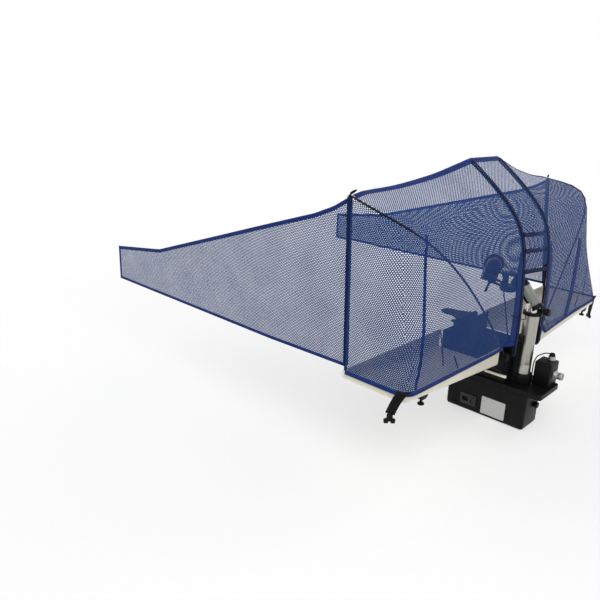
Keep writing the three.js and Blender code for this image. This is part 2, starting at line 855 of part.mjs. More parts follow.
// Plate under the feed wheel, with its fence and the way out towards the pole
function feedPlate() {
  const end = poleFromTable + poleRadius;
  const half = feedPlateWidth / 2;
  const legStart = feedWheelAxis - half * 0.7;
  const plan = new THREE.Shape();
  plan.moveTo(feedWheelAxis, baseMiddle - half);
  plan.lineTo(end, -poleInner);
  plan.lineTo(end, poleInner);
  plan.lineTo(feedWheelAxis, baseMiddle + half);
  plan.absarc(feedWheelAxis, baseMiddle, half, Math.PI / 2, Math.PI * 1.5);
  const plate = prism(plan, feedPlateThickness, 8).translate(0, 0, feedPlateTop - feedPlateThickness);
  const fencePlan = new THREE.Shape();
  fencePlan.absarc(feedWheelAxis, baseMiddle, half, Math.PI * 0.3, Math.PI * 1.7);
  fencePlan.absarc(feedWheelAxis, baseMiddle, half - feedPlateThickness, Math.PI * 1.7, Math.PI * 0.3, true);
  const fence = prism(fencePlan, feedWheelHeight * 0.7, 10).translate(0, 0, feedPlateTop - gap);
  const shaftHole = rod(feedShaftRadius + gap * 2, feedPlateThickness + overrun * 2, 16)
    .translate(feedWheelAxis, baseMiddle, feedPlateTop - feedPlateThickness - overrun);
  const leg = box(legStart, legStart + feedPlateThickness * 2, baseMiddle - half / 2, baseMiddle + half / 2,
    baseBottom + baseFootBevel + gap, feedPlateTop - feedPlateThickness + gap);
  return cut(join(plate, fence, leg, liftElbow()), shaftHole);
}

// Elbow that turns the balls from the feed plate up into the pole, in one with the plate
const liftSteps = 5;
const liftSides = 16;

function liftElbow() {
  const outer = poleInner - gap * 2;
  const inner = ballDiameter / 2 + gap * 4;
  const bend = outer * 1.02;
  const foot = feedPlateTop + outer - feedPlateThickness / 2;
  const path = new THREE.CurvePath();
  path.add(straight([poleFromTable - bend - outer * 0.3, 0, foot], [poleFromTable - bend, 0, foot]));
  path.add(new THREE.QuadraticBezierCurve3(
    new THREE.Vector3(poleFromTable - bend, 0, foot), new THREE.Vector3(poleFromTable, 0, foot),
    new THREE.Vector3(poleFromTable, 0, foot + bend)));
  const rise = foot + bend;
  const solid = sweep(path, outer, liftSteps, liftSides);
  const hollow = sweep(path, inner, liftSteps, liftSides);
  const riser = rod(outer - gap, lidTop - rise, liftSides).translate(poleFromTable, 0, rise - gap);
  const riserBore = rod(inner - gap, lidTop - rise + overrun * 2, liftSides)
    .translate(poleFromTable, 0, rise - overrun);
  const mouth = alongX(rod(inner - gap, outer, liftSides)).translate(poleFromTable - bend - outer, 0, foot);
  return cut(join(solid, riser), hollow, riserBore, mouth);
}

const feedMotorTop = feedPlateTop - feedPlateThickness - gap;

function feedMotor() {
  const gearbox = box(
    -gearboxLength / 2, gearboxLength / 2, -gearboxWidth / 2, gearboxWidth / 2, -gearboxHeight, 0);
  const can = rod(feedMotorRadius, feedMotorLength - gearboxHeight + gap, 24)
    .translate(0, 0, -feedMotorLength);
  const shaft = rod(feedShaftRadius, feedPlateThickness + feedWheelHeight * 0.5, 12);
  return join(gearbox, can, shaft);
}

function powerSupply() {
  const rise = baseBottom + baseFootBevel + gap;
  return box(
    -supplyLength / 2, supplyLength / 2, -supplyWidth / 2, supplyWidth / 2, rise, rise + supplyHeight);
}

// Housing of the feed drive on the lid, with a chamfered top
const driveTop = lidTop + gap + driveHeight;

function driveHousing() {
  const plan = roundedRectangle(
    driveX0 + driveTopBevel, driveX1 - driveTopBevel, driveOffset + driveTopBevel,
    driveOffset + driveWidth - driveTopBevel, driveCorner - driveTopBevel);
  const block = new THREE.ExtrudeGeometry(plan, {
    depth: driveHeight - driveTopBevel, curveSegments: 2, bevelEnabled: true, bevelThickness: driveTopBevel,
    bevelSize: driveTopBevel, bevelSegments: 1,
  }).translate(0, 0, lidTop + gap);
  const below = box(0, lidEnd * 2, -baseWidth, baseWidth, lidTop - driveHeight, lidTop + gap);
  return cut(block, below);
}

const headSocketX = driveX1 - headSocketBack;
const headSocketY = driveOffset + headSocketSide;

function headSocket() {
  return join(
    rod(headSocketFlange, headSocketFlangeHeight, 20),
    rod(headSocketRadius, headSocketFlangeHeight + headSocketHeight, 20));
}

function remoteSocket() {
  const half = remoteFlangeSize / 2;
  const plan = roundedRectangle(-half, half, -half, half, remoteFlangeCorner);
  const flange = prism(plan, remoteFlangeThickness, 3);
  const barrel = rod(remoteSocketRadius, remoteSocketLength, 24).translate(0, 0, remoteFlangeThickness - gap);
  const bore = rod(remoteSocketBore, remoteSocketDepth + overrun, 20)
    .translate(0, 0, remoteFlangeThickness + remoteSocketLength - remoteSocketDepth);
  const grooveAt = remoteFlangeThickness + remoteSocketLength * 0.35;
  const ring = pipe(
    remoteSocketRadius + overrun, remoteSocketRadius - remoteGrooveDepth, remoteGrooveWidth, 24)
    .translate(0, 0, grooveAt);
  return alongX(cut(join(flange, barrel), bore, ring));
}

// Plug on the head's lead, screwed on the socket
const plugFoot = driveTop + gap + headSocketFlangeHeight + headSocketHeight + gap;

function headPlug() {
  return turned([
    [0, 0], [headPlugRadius, 0], [headPlugRadius, headPlugHeight * 0.7],
    [headPlugRadius * 0.7, headPlugHeight], [0, headPlugHeight],
  ], 20);
}

// Leads that the object holds at both ends
const leadX = poleFromTable + leadFootBack;

function socketLeadPath() {
  const exit = plugFoot + headPlugHeight / 2;
  const reach = headSocketX - headPlugRadius - leadX;
  const slip = headSocketY - leadFootSide;
  return smoothPath([
    [headSocketX - headPlugRadius + gap, headSocketY, exit],
    [headSocketX - headPlugRadius - reach * 0.2, headSocketY - slip * 0.12, exit + leadRadius * 0.6],
    [headSocketX - headPlugRadius - reach * 0.5, headSocketY - slip * 0.45, exit - leadRadius],
    [headSocketX - headPlugRadius - reach * 0.8, headSocketY - slip * 0.82, exit - headPlugHeight],
    [leadX + leadRadius, leadFootSide + leadRadius, exit - headPlugHeight * 2.4],
    [leadX, leadFootSide, exit - headPlugHeight * 4],
    [leadX, leadFootSide, lidTop + headPlugHeight], [leadX, leadFootSide, lidTop + gap],
  ]);
}

function socketLead() {
  const plug = headPlug().translate(headSocketX, headSocketY, plugFoot);
  return join(plug, sweep(socketLeadPath(), leadRadius, 30, 6));
}

const headLeadFoot = -hopperRimDrop - hopperShoulderDrop * 0.45;

function headLeadPath() {
  const top = turretBase - gap;
  const drop = top - headLeadFoot;
  const start = turretFromTable - leadRadius * 4;
  const reach = hopperEnd - hopperWall - gap - start;
  return smoothPath([
    [start, -leadRadius * 4, top], [start, -leadRadius * 4, top - drop * 0.05],
    [start + reach * 0.16, -leadRadius * 6, top - drop * 0.22],
    [start + reach * 0.36, -leadRadius * 8, top - drop * 0.48],
    [start + reach * 0.53, -leadRadius * 10, top - drop * 0.72],
    [start + reach * 0.72, -leadRadius * 11.5, top - drop * 0.9],
    [start + reach * 0.9, -leadRadius * 12, top - drop * 0.985],
    [start + reach, -leadRadius * 12, headLeadFoot],
  ]);
}

// Hopper: sloping side floors, end walls, ribs and the sockets of ribs and bow rods
function floorSlope(throat) {
  return (hopperThroatDrop - hopperShoulderDrop) / (hopperMouthHalf - throat);
}

function hopperHalf(throatHalf, inset) {
  const slope = floorSlope(throatHalf);
  const lift = inset * Math.sqrt(1 + slope * slope);
  const extra = inset ? overrun : 0;
  const mouth = hopperMouthHalf + extra;
  const shoulder = -hopperShoulderDrop + lift + extra * slope;
  const neck = -hopperThroatDrop + lift - inset * slope;
  const throat = throatHalf - inset;
  return [[mouth, -hopperRimDrop + extra], [mouth, shoulder], [throat, neck], [throat, hopperFoot - extra]];
}

function hopperOutline(inset) {
  const near = hopperHalf(hopperThroatNear, inset).map(([y, z]) => [-y, z]);
  const far = hopperHalf(hopperThroatFar, inset).reverse();
  return polygon([...near, ...far]);
}

function slopeRise(y) {
  const throat = y < 0 ? hopperThroatNear : hopperThroatFar;
  return -hopperShoulderDrop - (hopperMouthHalf - Math.abs(y)) * floorSlope(throat);
}

function hopperShell() {
  const outer = wallFromEnd(hopperOutline(0), hopperStart, hopperLength);
  const inner = wallFromEnd(
    hopperOutline(hopperWall), hopperStart + hopperWall, hopperLength - hopperWall * 2);
  const additions = [];
  const tools = [];
  for (const side of [-1, 1]) {
    for (let i = 0; i < hopperRibCount; i += 1) {
      const y = side * (hopperRibStart + i * hopperRibSpacing);
      const low = Math.max(slopeRise(y), -hopperThroatDrop) + hopperRibWidth;
      additions.push(box(
        hopperEnd - gap, hopperEnd + hopperRibHeight, y - hopperRibWidth / 2, y + hopperRibWidth / 2,
        low, -hopperRimDrop));
    }
    const ribY = side * ribOffset;
    const socket = ribRadius + socketWall;
    additions.push(rod(socket, ribSocketLength, 16).translate(ribFoot, ribY, -ribFootDrop - socketWall));
    additions.push(box(hopperEnd - gap, ribFoot - ribRadius, ribY - socketWall, ribY + socketWall,
      -ribFootDrop - socketWall, -ribFootDrop - socketWall + ribSocketLength * 0.8));
    const blockTop = -bowFootDrop + rodSocketLength * 0.6;
    additions.push(box(
      hopperEnd - gap, hopperEnd + rodSocketDepth, side * bowFootSide - rodSocketWidth / 2,
      side * bowFootSide + rodSocketWidth / 2, blockTop - rodSocketLength, blockTop));
    tools.push(sweep(bowPath(side), bowRadius + gap, rodSteps, rodSides));
  }
  const socketMouths = [-1, 1].map((side) => rod(ribRadius + gap, ribSocketLength, 12)
    .translate(ribFoot, side * ribOffset, -ribFootDrop));
  const leadHole = alongX(rod(leadRadius + gap, hopperWall + overrun * 2, 12))
    .translate(hopperEnd - hopperWall - overrun, -leadRadius * 12, headLeadFoot);
  return cut(join(cut(outer, inner), ...additions), ...tools, ...socketMouths, leadHole);
}

// Cream rail on the throat of the hopper
function sideRail(side) {
  const inner = (side > 0 ? hopperThroatFar : hopperThroatNear) + gap;
  const y0 = side > 0 ? inner : -inner - railThickness;
  const foot = lidTop + lidRimHeight + railLift;
  return box(railStart, railStart + railLength, y0, y0 + railThickness, foot, foot + railHeight);
}

// Ball pole with a shallow seam, and the cradle that holds it
const poleFoot = lidTop + gap;

function ballPole() {
  const seam = poleFoot + poleSeamRise;
  return turned([
    [poleInner, poleFoot], [poleRadius, poleFoot], [poleRadius, seam], [poleRadius - poleSeamDepth, seam],
    [poleRadius - poleSeamDepth, seam + poleSeamWidth], [poleRadius, seam + poleSeamWidth],
    [poleRadius, poleTopRise], [poleInner, poleTopRise], [poleInner, poleFoot],
  ], 32);
}

function poleCradle() {
  const outer = poleRadius + cradleArm;
  const back = hopperEnd + gap - poleFromTable;
  const wall = box(back, -cradleSetBack, -outer, outer, lidTop + gap, -cradleTopDrop);
  const ring = rod(outer, cradleSocketHeight, 28).translate(0, 0, lidTop + gap);
  const bore = rod(poleRadius + gap, lidTopDrop + overrun, 32).translate(0, 0, lidTop - overrun);
  const flat = box(-outer - overrun, back, -outer - overrun, outer + overrun, lidTop - overrun, 0);
  return cut(join(wall, ring), bore, flat);
}

// Collar that clamps the neck over the pole's end
function poleCollar() {
  const outer = poleRadius + gap + collarWall;
  const lip = neckRadius + gap;
  const bored = poleRadius + gap;
  const foot = poleTopRise - collarSkirt;
  const ledge = poleTopRise + gap;
  const ring = turned([
    [lip, ledge], [bored, ledge], [bored, foot], [outer, foot], [outer, collarTop], [lip, collarTop],
    [lip, ledge],
  ], 28);
  const lug = alongX(rod(collarLugRadius, collarLugLength, 16)).translate(lugStart, 0, lugAxis);
  const web = box(
    bored + gap * 2, lugStart + collarLugLength * 0.7, -collarLugRadius * 0.8, collarLugRadius * 0.8,
    foot + gap, lugAxis);
  const thread = alongX(rod(clampShankRadius + gap, collarLugLength + overrun * 2, 12))
    .translate(lugStart - overrun, 0, lugAxis);
  return cut(join(ring, lug, web), thread);
}

const lugStart = neckRadius + gap * 2;
const lugAxis = collarTop + collarLugRise;
const clampKnobX = poleFromTable + lugStart + collarLugLength;

function clampKnob() {
  const knob = flutedKnob(clampKnobRadius, clampKnobLength).translate(0, 0, gap);
  const shank = rod(clampShankRadius, collarLugLength + gap * 2, 12).translate(0, 0, -collarLugLength - gap);
  return alongX(join(knob, shank));
}

// Neck: path of the slanted feed elbow, from below the crossing to the turret
function elbowPath() {
  const x = poleFromTable;
  const z = elbowCrossRise;
  const low = new THREE.Vector3(x + elbowLowReach, 0, z - elbowLowDrop);
  const knee = new THREE.Vector3(x - elbowKneeReach, 0, z + elbowKneeRise);
  const mouth = new THREE.Vector3(turretFromTable + turretRadius + elbowEndLength, 0, elbowOutletRise);
  const end = new THREE.Vector3(turretFromTable, 0, elbowOutletRise);
  const path = new THREE.CurvePath();
  path.add(new THREE.LineCurve3(low, knee));
  path.add(new THREE.QuadraticBezierCurve3(
    knee, new THREE.Vector3(mouth.x + elbowEndLength, 0, elbowOutletRise - elbowEndLength * 0.4), mouth));
  path.add(new THREE.LineCurve3(mouth, end));
  return path;
}

const elbowSteps = 9;
const elbowSides = 16;
const elbowLean = Math.atan2(elbowKneeReach + elbowLowReach, elbowKneeRise + elbowLowDrop);

function elbowCore(radius) {
  return sweep(elbowPath(), radius, elbowSteps, elbowSides);
}

// Lays a form that stands on +Z along the slanted part of the elbow, foot on its low end
function atElbowFoot(geometry) {
  return geometry.rotateY(-elbowLean)
    .translate(poleFromTable + elbowLowReach, 0, elbowCrossRise - elbowLowDrop);
}

function neckTube() {
  const foot = poleTopRise - neckInsertion;
  const top = elbowCrossRise + elbowRadius * 2;
  const tube = pipe(neckRadius, neckRadius - neckWall, top - foot, 32).translate(poleFromTable, 0, foot);
  const upperSide = atElbowFoot(box(0, top, -baseWidth, baseWidth, -elbowFrameWall - gap, top));
  const cap = atElbowFoot(rod(elbowRadius + gap, elbowFrameWall + gap * 2, elbowSides)
    .translate(0, 0, -elbowFrameWall - gap));
  return cut(tube, elbowCore(elbowRadius + gap), cap, upperSide);
}

function ballRise() {
  const bore = neckRadius - neckWall - gap;
  return rod(bore, elbowCrossRise - poleTopRise, elbowSides).translate(poleFromTable, 0, poleTopRise);
}

function turretClear(extra) {
  return rod(turretRadius + extra, turretBaseDrop * 4, 32)
    .translate(turretFromTable, 0, turretBase - turretBaseDrop);
}

function belowCollar() {
  return box(0, lidEnd * 2, -baseWidth, baseWidth, 0, elbowFloor);
}

// The slanted part of the elbow is an open channel, closed by its clear liner
function elbowWindow() {
  const slant = Math.hypot(elbowKneeReach + elbowLowReach, elbowKneeRise + elbowLowDrop);
  return atElbowFoot(box(
    -elbowSillDrop, elbowRadius * 2, -elbowRadius * 2, elbowRadius * 2,
    elbowRimLength, slant + elbowLinerEnd));
}

function feedElbow() {
  const inner = elbowRadius - elbowFrameWall;
  const shell = cut(elbowCore(elbowRadius), elbowCore(inner), elbowWindow());
  const cap = atElbowFoot(
    rod(elbowRadius, elbowFrameWall * 1.5, elbowSides).translate(0, 0, -elbowFrameWall));
  return cut(join(shell, cap), belowCollar(), ballRise(), turretClear(gap * 2));
}

function elbowLiner() {
  const outer = elbowRadius - elbowFrameWall - gap;
  const shell = cut(elbowCore(outer), elbowCore(outer - linerWall));
  const capSide = atElbowFoot(rod(elbowRadius * 2, elbowRadius * 2, 12)
    .translate(0, 0, elbowFrameWall + gap - elbowRadius * 2));
  return cut(shell, capSide, belowCollar(), ballRise(), turretClear(elbowLinerEnd));
}

// Turret: fixed foot, and above it the turning drum that is open at the back
function turretFoot() {
  const chamfer = turretRadius * 0.15;
  return turned([
    [0, turretBase], [turretRadius - chamfer, turretBase], [turretRadius, turretBase + chamfer],
    [turretRadius, turretBase + turretBaseHeight], [0, turretBase + turretBaseHeight],
  ], 36);
}

const barrelRiseAtAxis = elbowOutletRise - barrelAxisDrop;
const tiltSlope = Math.tan(THREE.MathUtils.degToRad(headTilt));
const pivotRise = barrelRiseAtAxis + yokePivotReach * tiltSlope - yokePivotDrop;

// In the turret's own frame +X is the way the ball leaves
function panDrum() {
  const half = THREE.MathUtils.degToRad(turretMouthHalfAngle);
  const wallPlan = new THREE.Shape();
  wallPlan.absarc(0, 0, turretRadius, -Math.PI + half, Math.PI - half);
  wallPlan.absarc(0, 0, turretRadius - turretWall, Math.PI - half, -Math.PI + half, true);
  const wall = prism(wallPlan, turretInnerHeight + gap * 2, 8).translate(0, 0, turretInside - gap);
  const floor = rod(turretRadius, turretFloorHeight, 24).translate(0, 0, turretFloor);
  const cap = turned([
    [0, 0], [turretRadius, 0], [turretRadius, turretCapHeight * 0.5], [turretRadius * 0.9, turretCapHeight],
    [0, turretCapHeight],
  ], 24).translate(0, 0, turretInside + turretInnerHeight);
  const window = alongX(rod(turretWindowRadius, turretRadius * 2, 20)).translate(0, 0, elbowOutletRise);
  const arms = [-1, 1].map((side) => yokeArm(side));
  return join(cut(join(floor, wall, cap), window), ...arms);
}

function yokeArm(side) {
  const root = turretFloor;
  const half = yokeArmHeight / 2;
  const outline = polygon([
    [-turretRadius * 0.3, root], [turretRadius * 0.5, root], [yokePivotReach, pivotRise - half],
    [yokePivotReach + half, pivotRise - half * 0.4], [yokePivotReach + half, pivotRise + half * 0.4],
    [yokePivotReach, pivotRise + half], [yokePivotReach - half * 1.6, pivotRise + half * 0.6],
    [turretRadius * 0.9, root + half * 2.1], [turretRadius * 0.4, root + turretFloorHeight],
    [-turretRadius * 0.3, root + turretFloorHeight],
  ]);
  const y0 = side > 0 ? yokeArmOffset : -yokeArmOffset - yokeArmThickness;
  const arm = wallFromSide(outline, y0, yokeArmThickness);
  const hole = alongY(rod(pivotPinRadius + gap, yokeArmThickness + overrun * 2, 16))
    .translate(yokePivotReach, y0 - overrun, pivotRise);
  return cut(arm, hole);
}

// Throwing head, drawn with its barrel level and turned up by headTilt afterwards
const barrelAxis = new THREE.Matrix4().makeRotationY(-THREE.MathUtils.degToRad(headTilt))
  .setPosition(0, 0, barrelRiseAtAxis);

function tilted(geometry) {
  return geometry.applyMatrix4(barrelAxis);
}

function wheelPlace(geometry) {
  return tilted(geometry.translate(wheelAlong, 0, wheelAbove));
}

function headBody() {
  const barrel = alongX(rod(barrelRadius, barrelEnd - barrelStart, 24)).translate(barrelStart, 0, 0);
  const bore = alongX(rod(barrelBore, barrelEnd - barrelStart + overrun * 2, 24))
    .translate(barrelStart - overrun, 0, 0);
  const y1 = -backPlateOffset;
  const y0 = y1 - backPlateThickness;
  const disc = alongY(rod(backPlateRadius, backPlateThickness, 32)).translate(wheelAlong, y0, wheelAbove);
  const web = wallFromSide(polygon([
    [wheelAlong - backPlateRadius * 0.82, wheelAbove], [barrelStart + gap, barrelRadius * 0.5],
    [barrelEnd - gap, barrelRadius * 0.5], [wheelAlong + backPlateRadius * 0.82, wheelAbove],
  ]), y0, backPlateThickness);
  const motorDisc = alongY(rod(motorRadius, motorPlateThickness, 24))
    .translate(wheelAlong, motorPlateOffset, wheelAbove);
  const webHalf = motorRadius * 0.95;
  const motorWeb = box(
    wheelAlong - webHalf, wheelAlong + webHalf, motorPlateOffset, motorPlateOffset + motorPlateThickness,
    barrelRadius * 0.7, wheelAbove);
  const slot = alongY(rod(wheelRadius + wheelRunning, wheelWidth + wheelRunning * 2, 20))
    .translate(wheelAlong, -wheelWidth / 2 - wheelRunning, wheelAbove);
  const shaftHole = alongY(rod(wheelShaftRadius + gap * 2, motorPlateThickness + overrun, 12))
    .translate(wheelAlong, motorPlateOffset - overrun / 2, wheelAbove);
  const nozzleSeat = alongX(rod(nozzleRadius + gap, nozzleLength + gap * 2, 24)).translate(barrelEnd, 0, 0);
  const body = tilted(cut(join(barrel, disc, web, motorDisc, motorWeb), bore, slot, shaftHole, nozzleSeat));
  const pins = [-1, 1].map((side) => {
    const inner = barrelBore + gap * 2;
    const length = yokeArmOffset + yokeArmThickness - inner + (side > 0 ? gap : 0);
    const y0Pin = side > 0 ? inner : -inner - length;
    return alongY(rod(pivotPinRadius, length, 16)).translate(yokePivotReach, y0Pin, pivotRise);
  });
  const boss = [-1, 1].map((side) => {
    const inner = barrelBore + gap * 2;
    const length = yokeArmOffset - gap - inner;
    return alongY(rod(pivotPinRadius * 1.8, length, 16))
      .translate(yokePivotReach, side > 0 ? inner : -inner - length, pivotRise);
  });
  return cut(join(body, ...pins, ...boss), tilted(alongX(rod(barrelBore, barrelEnd, 24))));
}

function nozzleRing() {
  const lip = nozzleLength * 0.35;
  return tilted(alongX(turned([
    [barrelBore, 0], [nozzleRadius, 0], [nozzleRadius, nozzleLength - lip],
    [nozzleRadius - lip, nozzleLength],
    [barrelBore + lip, nozzleLength], [barrelBore, nozzleLength - lip], [barrelBore, 0],
  ], 24)).translate(barrelEnd + gap, 0, 0));
}

function throwingWheel() {
  const half = wheelWidth / 2;
  const chamfer = wheelGroove / 2;
  const wheel = turned([
    [0, -half], [wheelHubRadius, -half], [wheelHubRadius + chamfer, -half + chamfer],
    [wheelRadius - chamfer, -half + chamfer], [wheelRadius, -half + chamfer * 2],
    [wheelRadius - wheelGroove, 0], [wheelRadius, half - chamfer * 2],
    [wheelRadius - chamfer, half - chamfer], [wheelHubRadius + chamfer, half - chamfer],
    [wheelHubRadius, half], [0, half],
  ], 28);
  const shaftHole = rod(wheelShaftRadius + gap / 3, wheelWidth, 12).translate(0, 0, chamfer - half);
  return wheelPlace(alongY(cut(wheel, shaftHole)));
}

function wheelMotor() {
  const face = motorPlateOffset + motorPlateThickness + gap;
  const edge = motorRadius * 0.14;
  const can = turned([
    [0, 0], [motorRadius, 0], [motorRadius, motorLength - edge * 2],
    [motorRadius - edge, motorLength - edge / 2], [motorRadius - edge * 2.5, motorLength],
    [0, motorLength],
  ], 28);
  const reach = face + wheelWidth * 0.3;
  const shaft = rod(wheelShaftRadius, reach, 12).translate(0, 0, gap - reach);
  return wheelPlace(alongY(join(can, shaft)).translate(0, face, 0));
}

function wheelGuard() {
  const inner = backPlateRadius + gap;
  const start = THREE.MathUtils.degToRad(guardStartAngle);
  const end = start + THREE.MathUtils.degToRad(guardSweepAngle);
  const plan = new THREE.Shape();
  plan.absarc(0, 0, inner + guardWall, start, end);
  plan.absarc(0, 0, inner, end, start, true);
  return wheelPlace(wallFromSide(plan, gap * 6 - backPlateOffset - guardWidth, guardWidth, 12));
}

function tiltLever() {
  const y0 = yokeArmOffset + yokeArmThickness + gap * 2;
  const hub = alongY(rod(leverHubRadius, leverHubLength, 20)).translate(0, y0, 0);
  const handle = wallFromSide(polygon([
    [-leverWidth / 2, 0], [leverWidth / 2, 0], [leverWidth * 1.6, -leverLength * 0.7],
    [leverWidth * 2, -leverLength], [leverWidth * 0.9, -leverLength * 1.03],
    [leverWidth * 0.4, -leverLength * 0.72],
  ]), y0 + leverHubLength - leverThickness, leverThickness);
  return join(hub, handle).translate(yokePivotReach, 0, pivotRise);
}

// Hook over the table's end with the lower jaw of its screw clamp
const hookJawTop = -hookBackDrop + hookBackCorner + jawThickness;

function tableHook() {
  const back = hookBackGap;
  const tongue = new THREE.Shape();
  tongue.moveTo(back + hookBackThickness, -hookRootHalf);
  tongue.lineTo(back + hookBackThickness, hookRootHalf);
  tongue.lineTo(0, hookRootHalf);
  tongue.quadraticCurveTo(-hookReach * 0.3, hookTipHalf, -hookReach + hookTipHalf, hookTipHalf);
  tongue.absarc(-hookReach + hookTipHalf, 0, hookTipHalf, Math.PI / 2, Math.PI * 1.5);
  tongue.quadraticCurveTo(-hookReach * 0.3, -hookTipHalf, 0, -hookRootHalf);
  const arm = prism(tongue, hookThickness, 8).translate(0, 0, hookPadThickness + gap);
  const backPlan = roundedRectangle(
    -hookBackHalf, hookBackHalf, -hookBackDrop, hookPadThickness + gap + hookThickness, hookBackCorner);
  const plate = wallFromEnd(backPlan, back, hookBackThickness, 3);
  const jaw = box(-jawReach, back + gap, -jawHalf, jawHalf, hookJawTop - jawThickness, hookJawTop);
  const gusset = wallFromSide(polygon([
    [back + gap, hookJawTop - gap], [back + gap, hookJawTop + jawThickness * 2],
    [-jawThickness * 2, hookJawTop - gap],
  ]), -jawThickness / 4, jawThickness / 2);
  const thread = rod(screwRadius + gap, jawThickness * 3, 20)
    .translate(-screwFromEdge, 0, hookJawTop - jawThickness * 2);
  return cut(join(arm, plate, jaw, gusset), thread);
}

function hookPad() {
  const pad = new THREE.Shape();
  const tip = hookTipHalf - hookPadMargin;
  const end = hookBackGap + hookBackThickness;
  pad.moveTo(end, -tip);
  pad.lineTo(end, tip);
  pad.lineTo(-hookReach + hookTipHalf, tip);
  pad.absarc(-hookReach + hookTipHalf, 0, tip, Math.PI / 2, Math.PI * 1.5);
  const skirt = box(hookSkirtSetBack, hookBackGap - gap, -tip, tip, -tableThickness, gap);
  const body = prism(pad, hookPadThickness, 8);
  const behind = box(
    hookBackGap - gap, end + overrun, -tip * 2, tip * 2, -tableThickness, hookPadThickness + gap);
  return cut(join(body, skirt), behind);
}

const screwPadTop = -tableThickness - padClearance;
const screwTop = screwPadTop - padThickness / 2;

function clampPad() {
  const ball = screwRadius + gap;
  return turned([
    [0, -padThickness / 2 + gap], [ball, -padThickness / 2 + gap], [ball, -padThickness],
    [padRadius * 0.7, -padThickness], [padRadius, -padThickness * 0.5], [padRadius, 0], [0, 0],
  ], 24).translate(-screwFromEdge, 0, screwPadTop);
}

function clampScrew() {
  const foot = hookJawTop - jawThickness - screwTail;
  const length = screwTop - foot;
  const shank = rod(screwRadius, length, 16).translate(0, 0, foot);
  const knob = flutedKnob(screwKnobRadius, screwKnobLength).translate(0, 0, foot - screwKnobLength + gap);
  return join(shank, knob).translate(-screwFromEdge, 0, 0);
}

// Tray: its section deepens towards the hopper, and its outer rear corner is round
function traySection(inset, drop, y) {
  const x0 = trayStart + inset;
  const x1 = trayEnd - inset;
  const top = -trayRimDrop + (inset ? overrun : 0);
  const radius = trayBottomRadius - inset;
  const low = -drop + inset;
  const ring = [new THREE.Vector3(x0, y, top), new THREE.Vector3(x0, y, low + radius)];
  for (const [centre, from] of [[x0 + radius, Math.PI], [x1 - radius, Math.PI * 1.5]]) {
    for (let i = 0; i <= 4; i += 1) {
      const angle = from + (i / 4) * (Math.PI / 2);
      ring.push(new THREE.Vector3(
        centre + radius * Math.cos(angle), y, low + radius + radius * Math.sin(angle)));
    }
  }
  ring.push(new THREE.Vector3(x1, y, low + radius), new THREE.Vector3(x1, y, top));
  return ring.filter((p, i) => i === 0 || p.distanceTo(ring[i - 1]) > gap / 10);
}

function trayBlock(inset, side, outerEnd) {
  const innerEnd = trayInner - (inset ? overrun : 0);
  const dropAt = (y) => trayOuterDrop + (trayOuter - y) * trayFall;
  return loft([
    traySection(inset, dropAt(innerEnd), side * innerEnd),
    traySection(inset, dropAt(outerEnd), side * outerEnd),
  ]);
}

function trayPlan(inset, side) {
  const radius = trayCornerRadius - inset;
  const outer = trayOuter - inset;
  const x1 = trayEnd - inset;
  const shape = new THREE.Shape();
  shape.moveTo(0, side * (trayInner - overrun * 2));
  shape.lineTo(x1, side * (trayInner - overrun * 2));
  shape.lineTo(x1, side * (outer - radius));
  shape.absarc(x1 - radius, side * (outer - radius), radius, 0, side * Math.PI / 2, side < 0);
  shape.lineTo(0, side * outer);
  return prism(shape, tableWidth, 7).translate(0, 0, -halfTable);
}

function cornerAxis(side) {
  const foot = new THREE.Vector3(cornerFootForward, side * (trayOuter - cornerFootSetIn), -trayRimDrop);
  const top = side < 0
    ? new THREE.Vector3(nearTopForward, -nearTopSide, nearTopRise)
    : new THREE.Vector3(farTopForward, farTopSide, farTopRise);
  return { foot, top, direction: top.clone().sub(foot).normalize() };
}

function tubeOnAxis(axis, from, to, radius, sides) {
  const start = axis.foot.clone().addScaledVector(axis.direction, from);
  const end = axis.foot.clone().addScaledVector(axis.direction, to);
  return sweep(new THREE.LineCurve3(start, end), radius, 1, sides);
}

const cornerSeatDepth = cornerSocketLength * 0.8;

function catchTray(side) {
  const outer = common(trayBlock(0, side, trayOuter), trayPlan(0, side));
  const inner = common(trayBlock(trayWall, side, trayOuter - trayWall), trayPlan(trayWall, side));
  const axis = cornerAxis(side);
  const low = -cornerSeatDepth - cornerSocketWall;
  const socket = tubeOnAxis(axis, low, low + cornerSocketLength, cornerPoleRadius + cornerSocketWall, 16);
  const bore = tubeOnAxis(axis, -cornerSeatDepth, cornerSocketLength * 2, cornerPoleRadius + gap, 16);
  const bead = common(
    cut(trayPlan(0, side), trayPlan(trayWall + trayRimBead, side)),
    box(trayStart, trayEnd, -trayOuter, trayOuter, -trayRimDrop - trayRimBead, -trayRimDrop));
  const beadEnd = common(bead, side > 0
    ? box(0, trayEnd, trayInner, trayOuter, -trayOuterDrop, 0)
    : box(0, trayEnd, -trayOuter, -trayInner, -trayOuterDrop, 0));
  return cut(join(cut(outer, inner), beadEnd, socket), bore);
}

const footX = trayEnd - footSetIn;
const footSide = trayOuter - footFromCorner;
const trayFall = (trayInnerDrop - trayOuterDrop) / (trayOuter - trayInner);
const footTop = -trayOuterDrop - footFromCorner * trayFall;
const footBracketFoot = footTop - footBracketHeight;

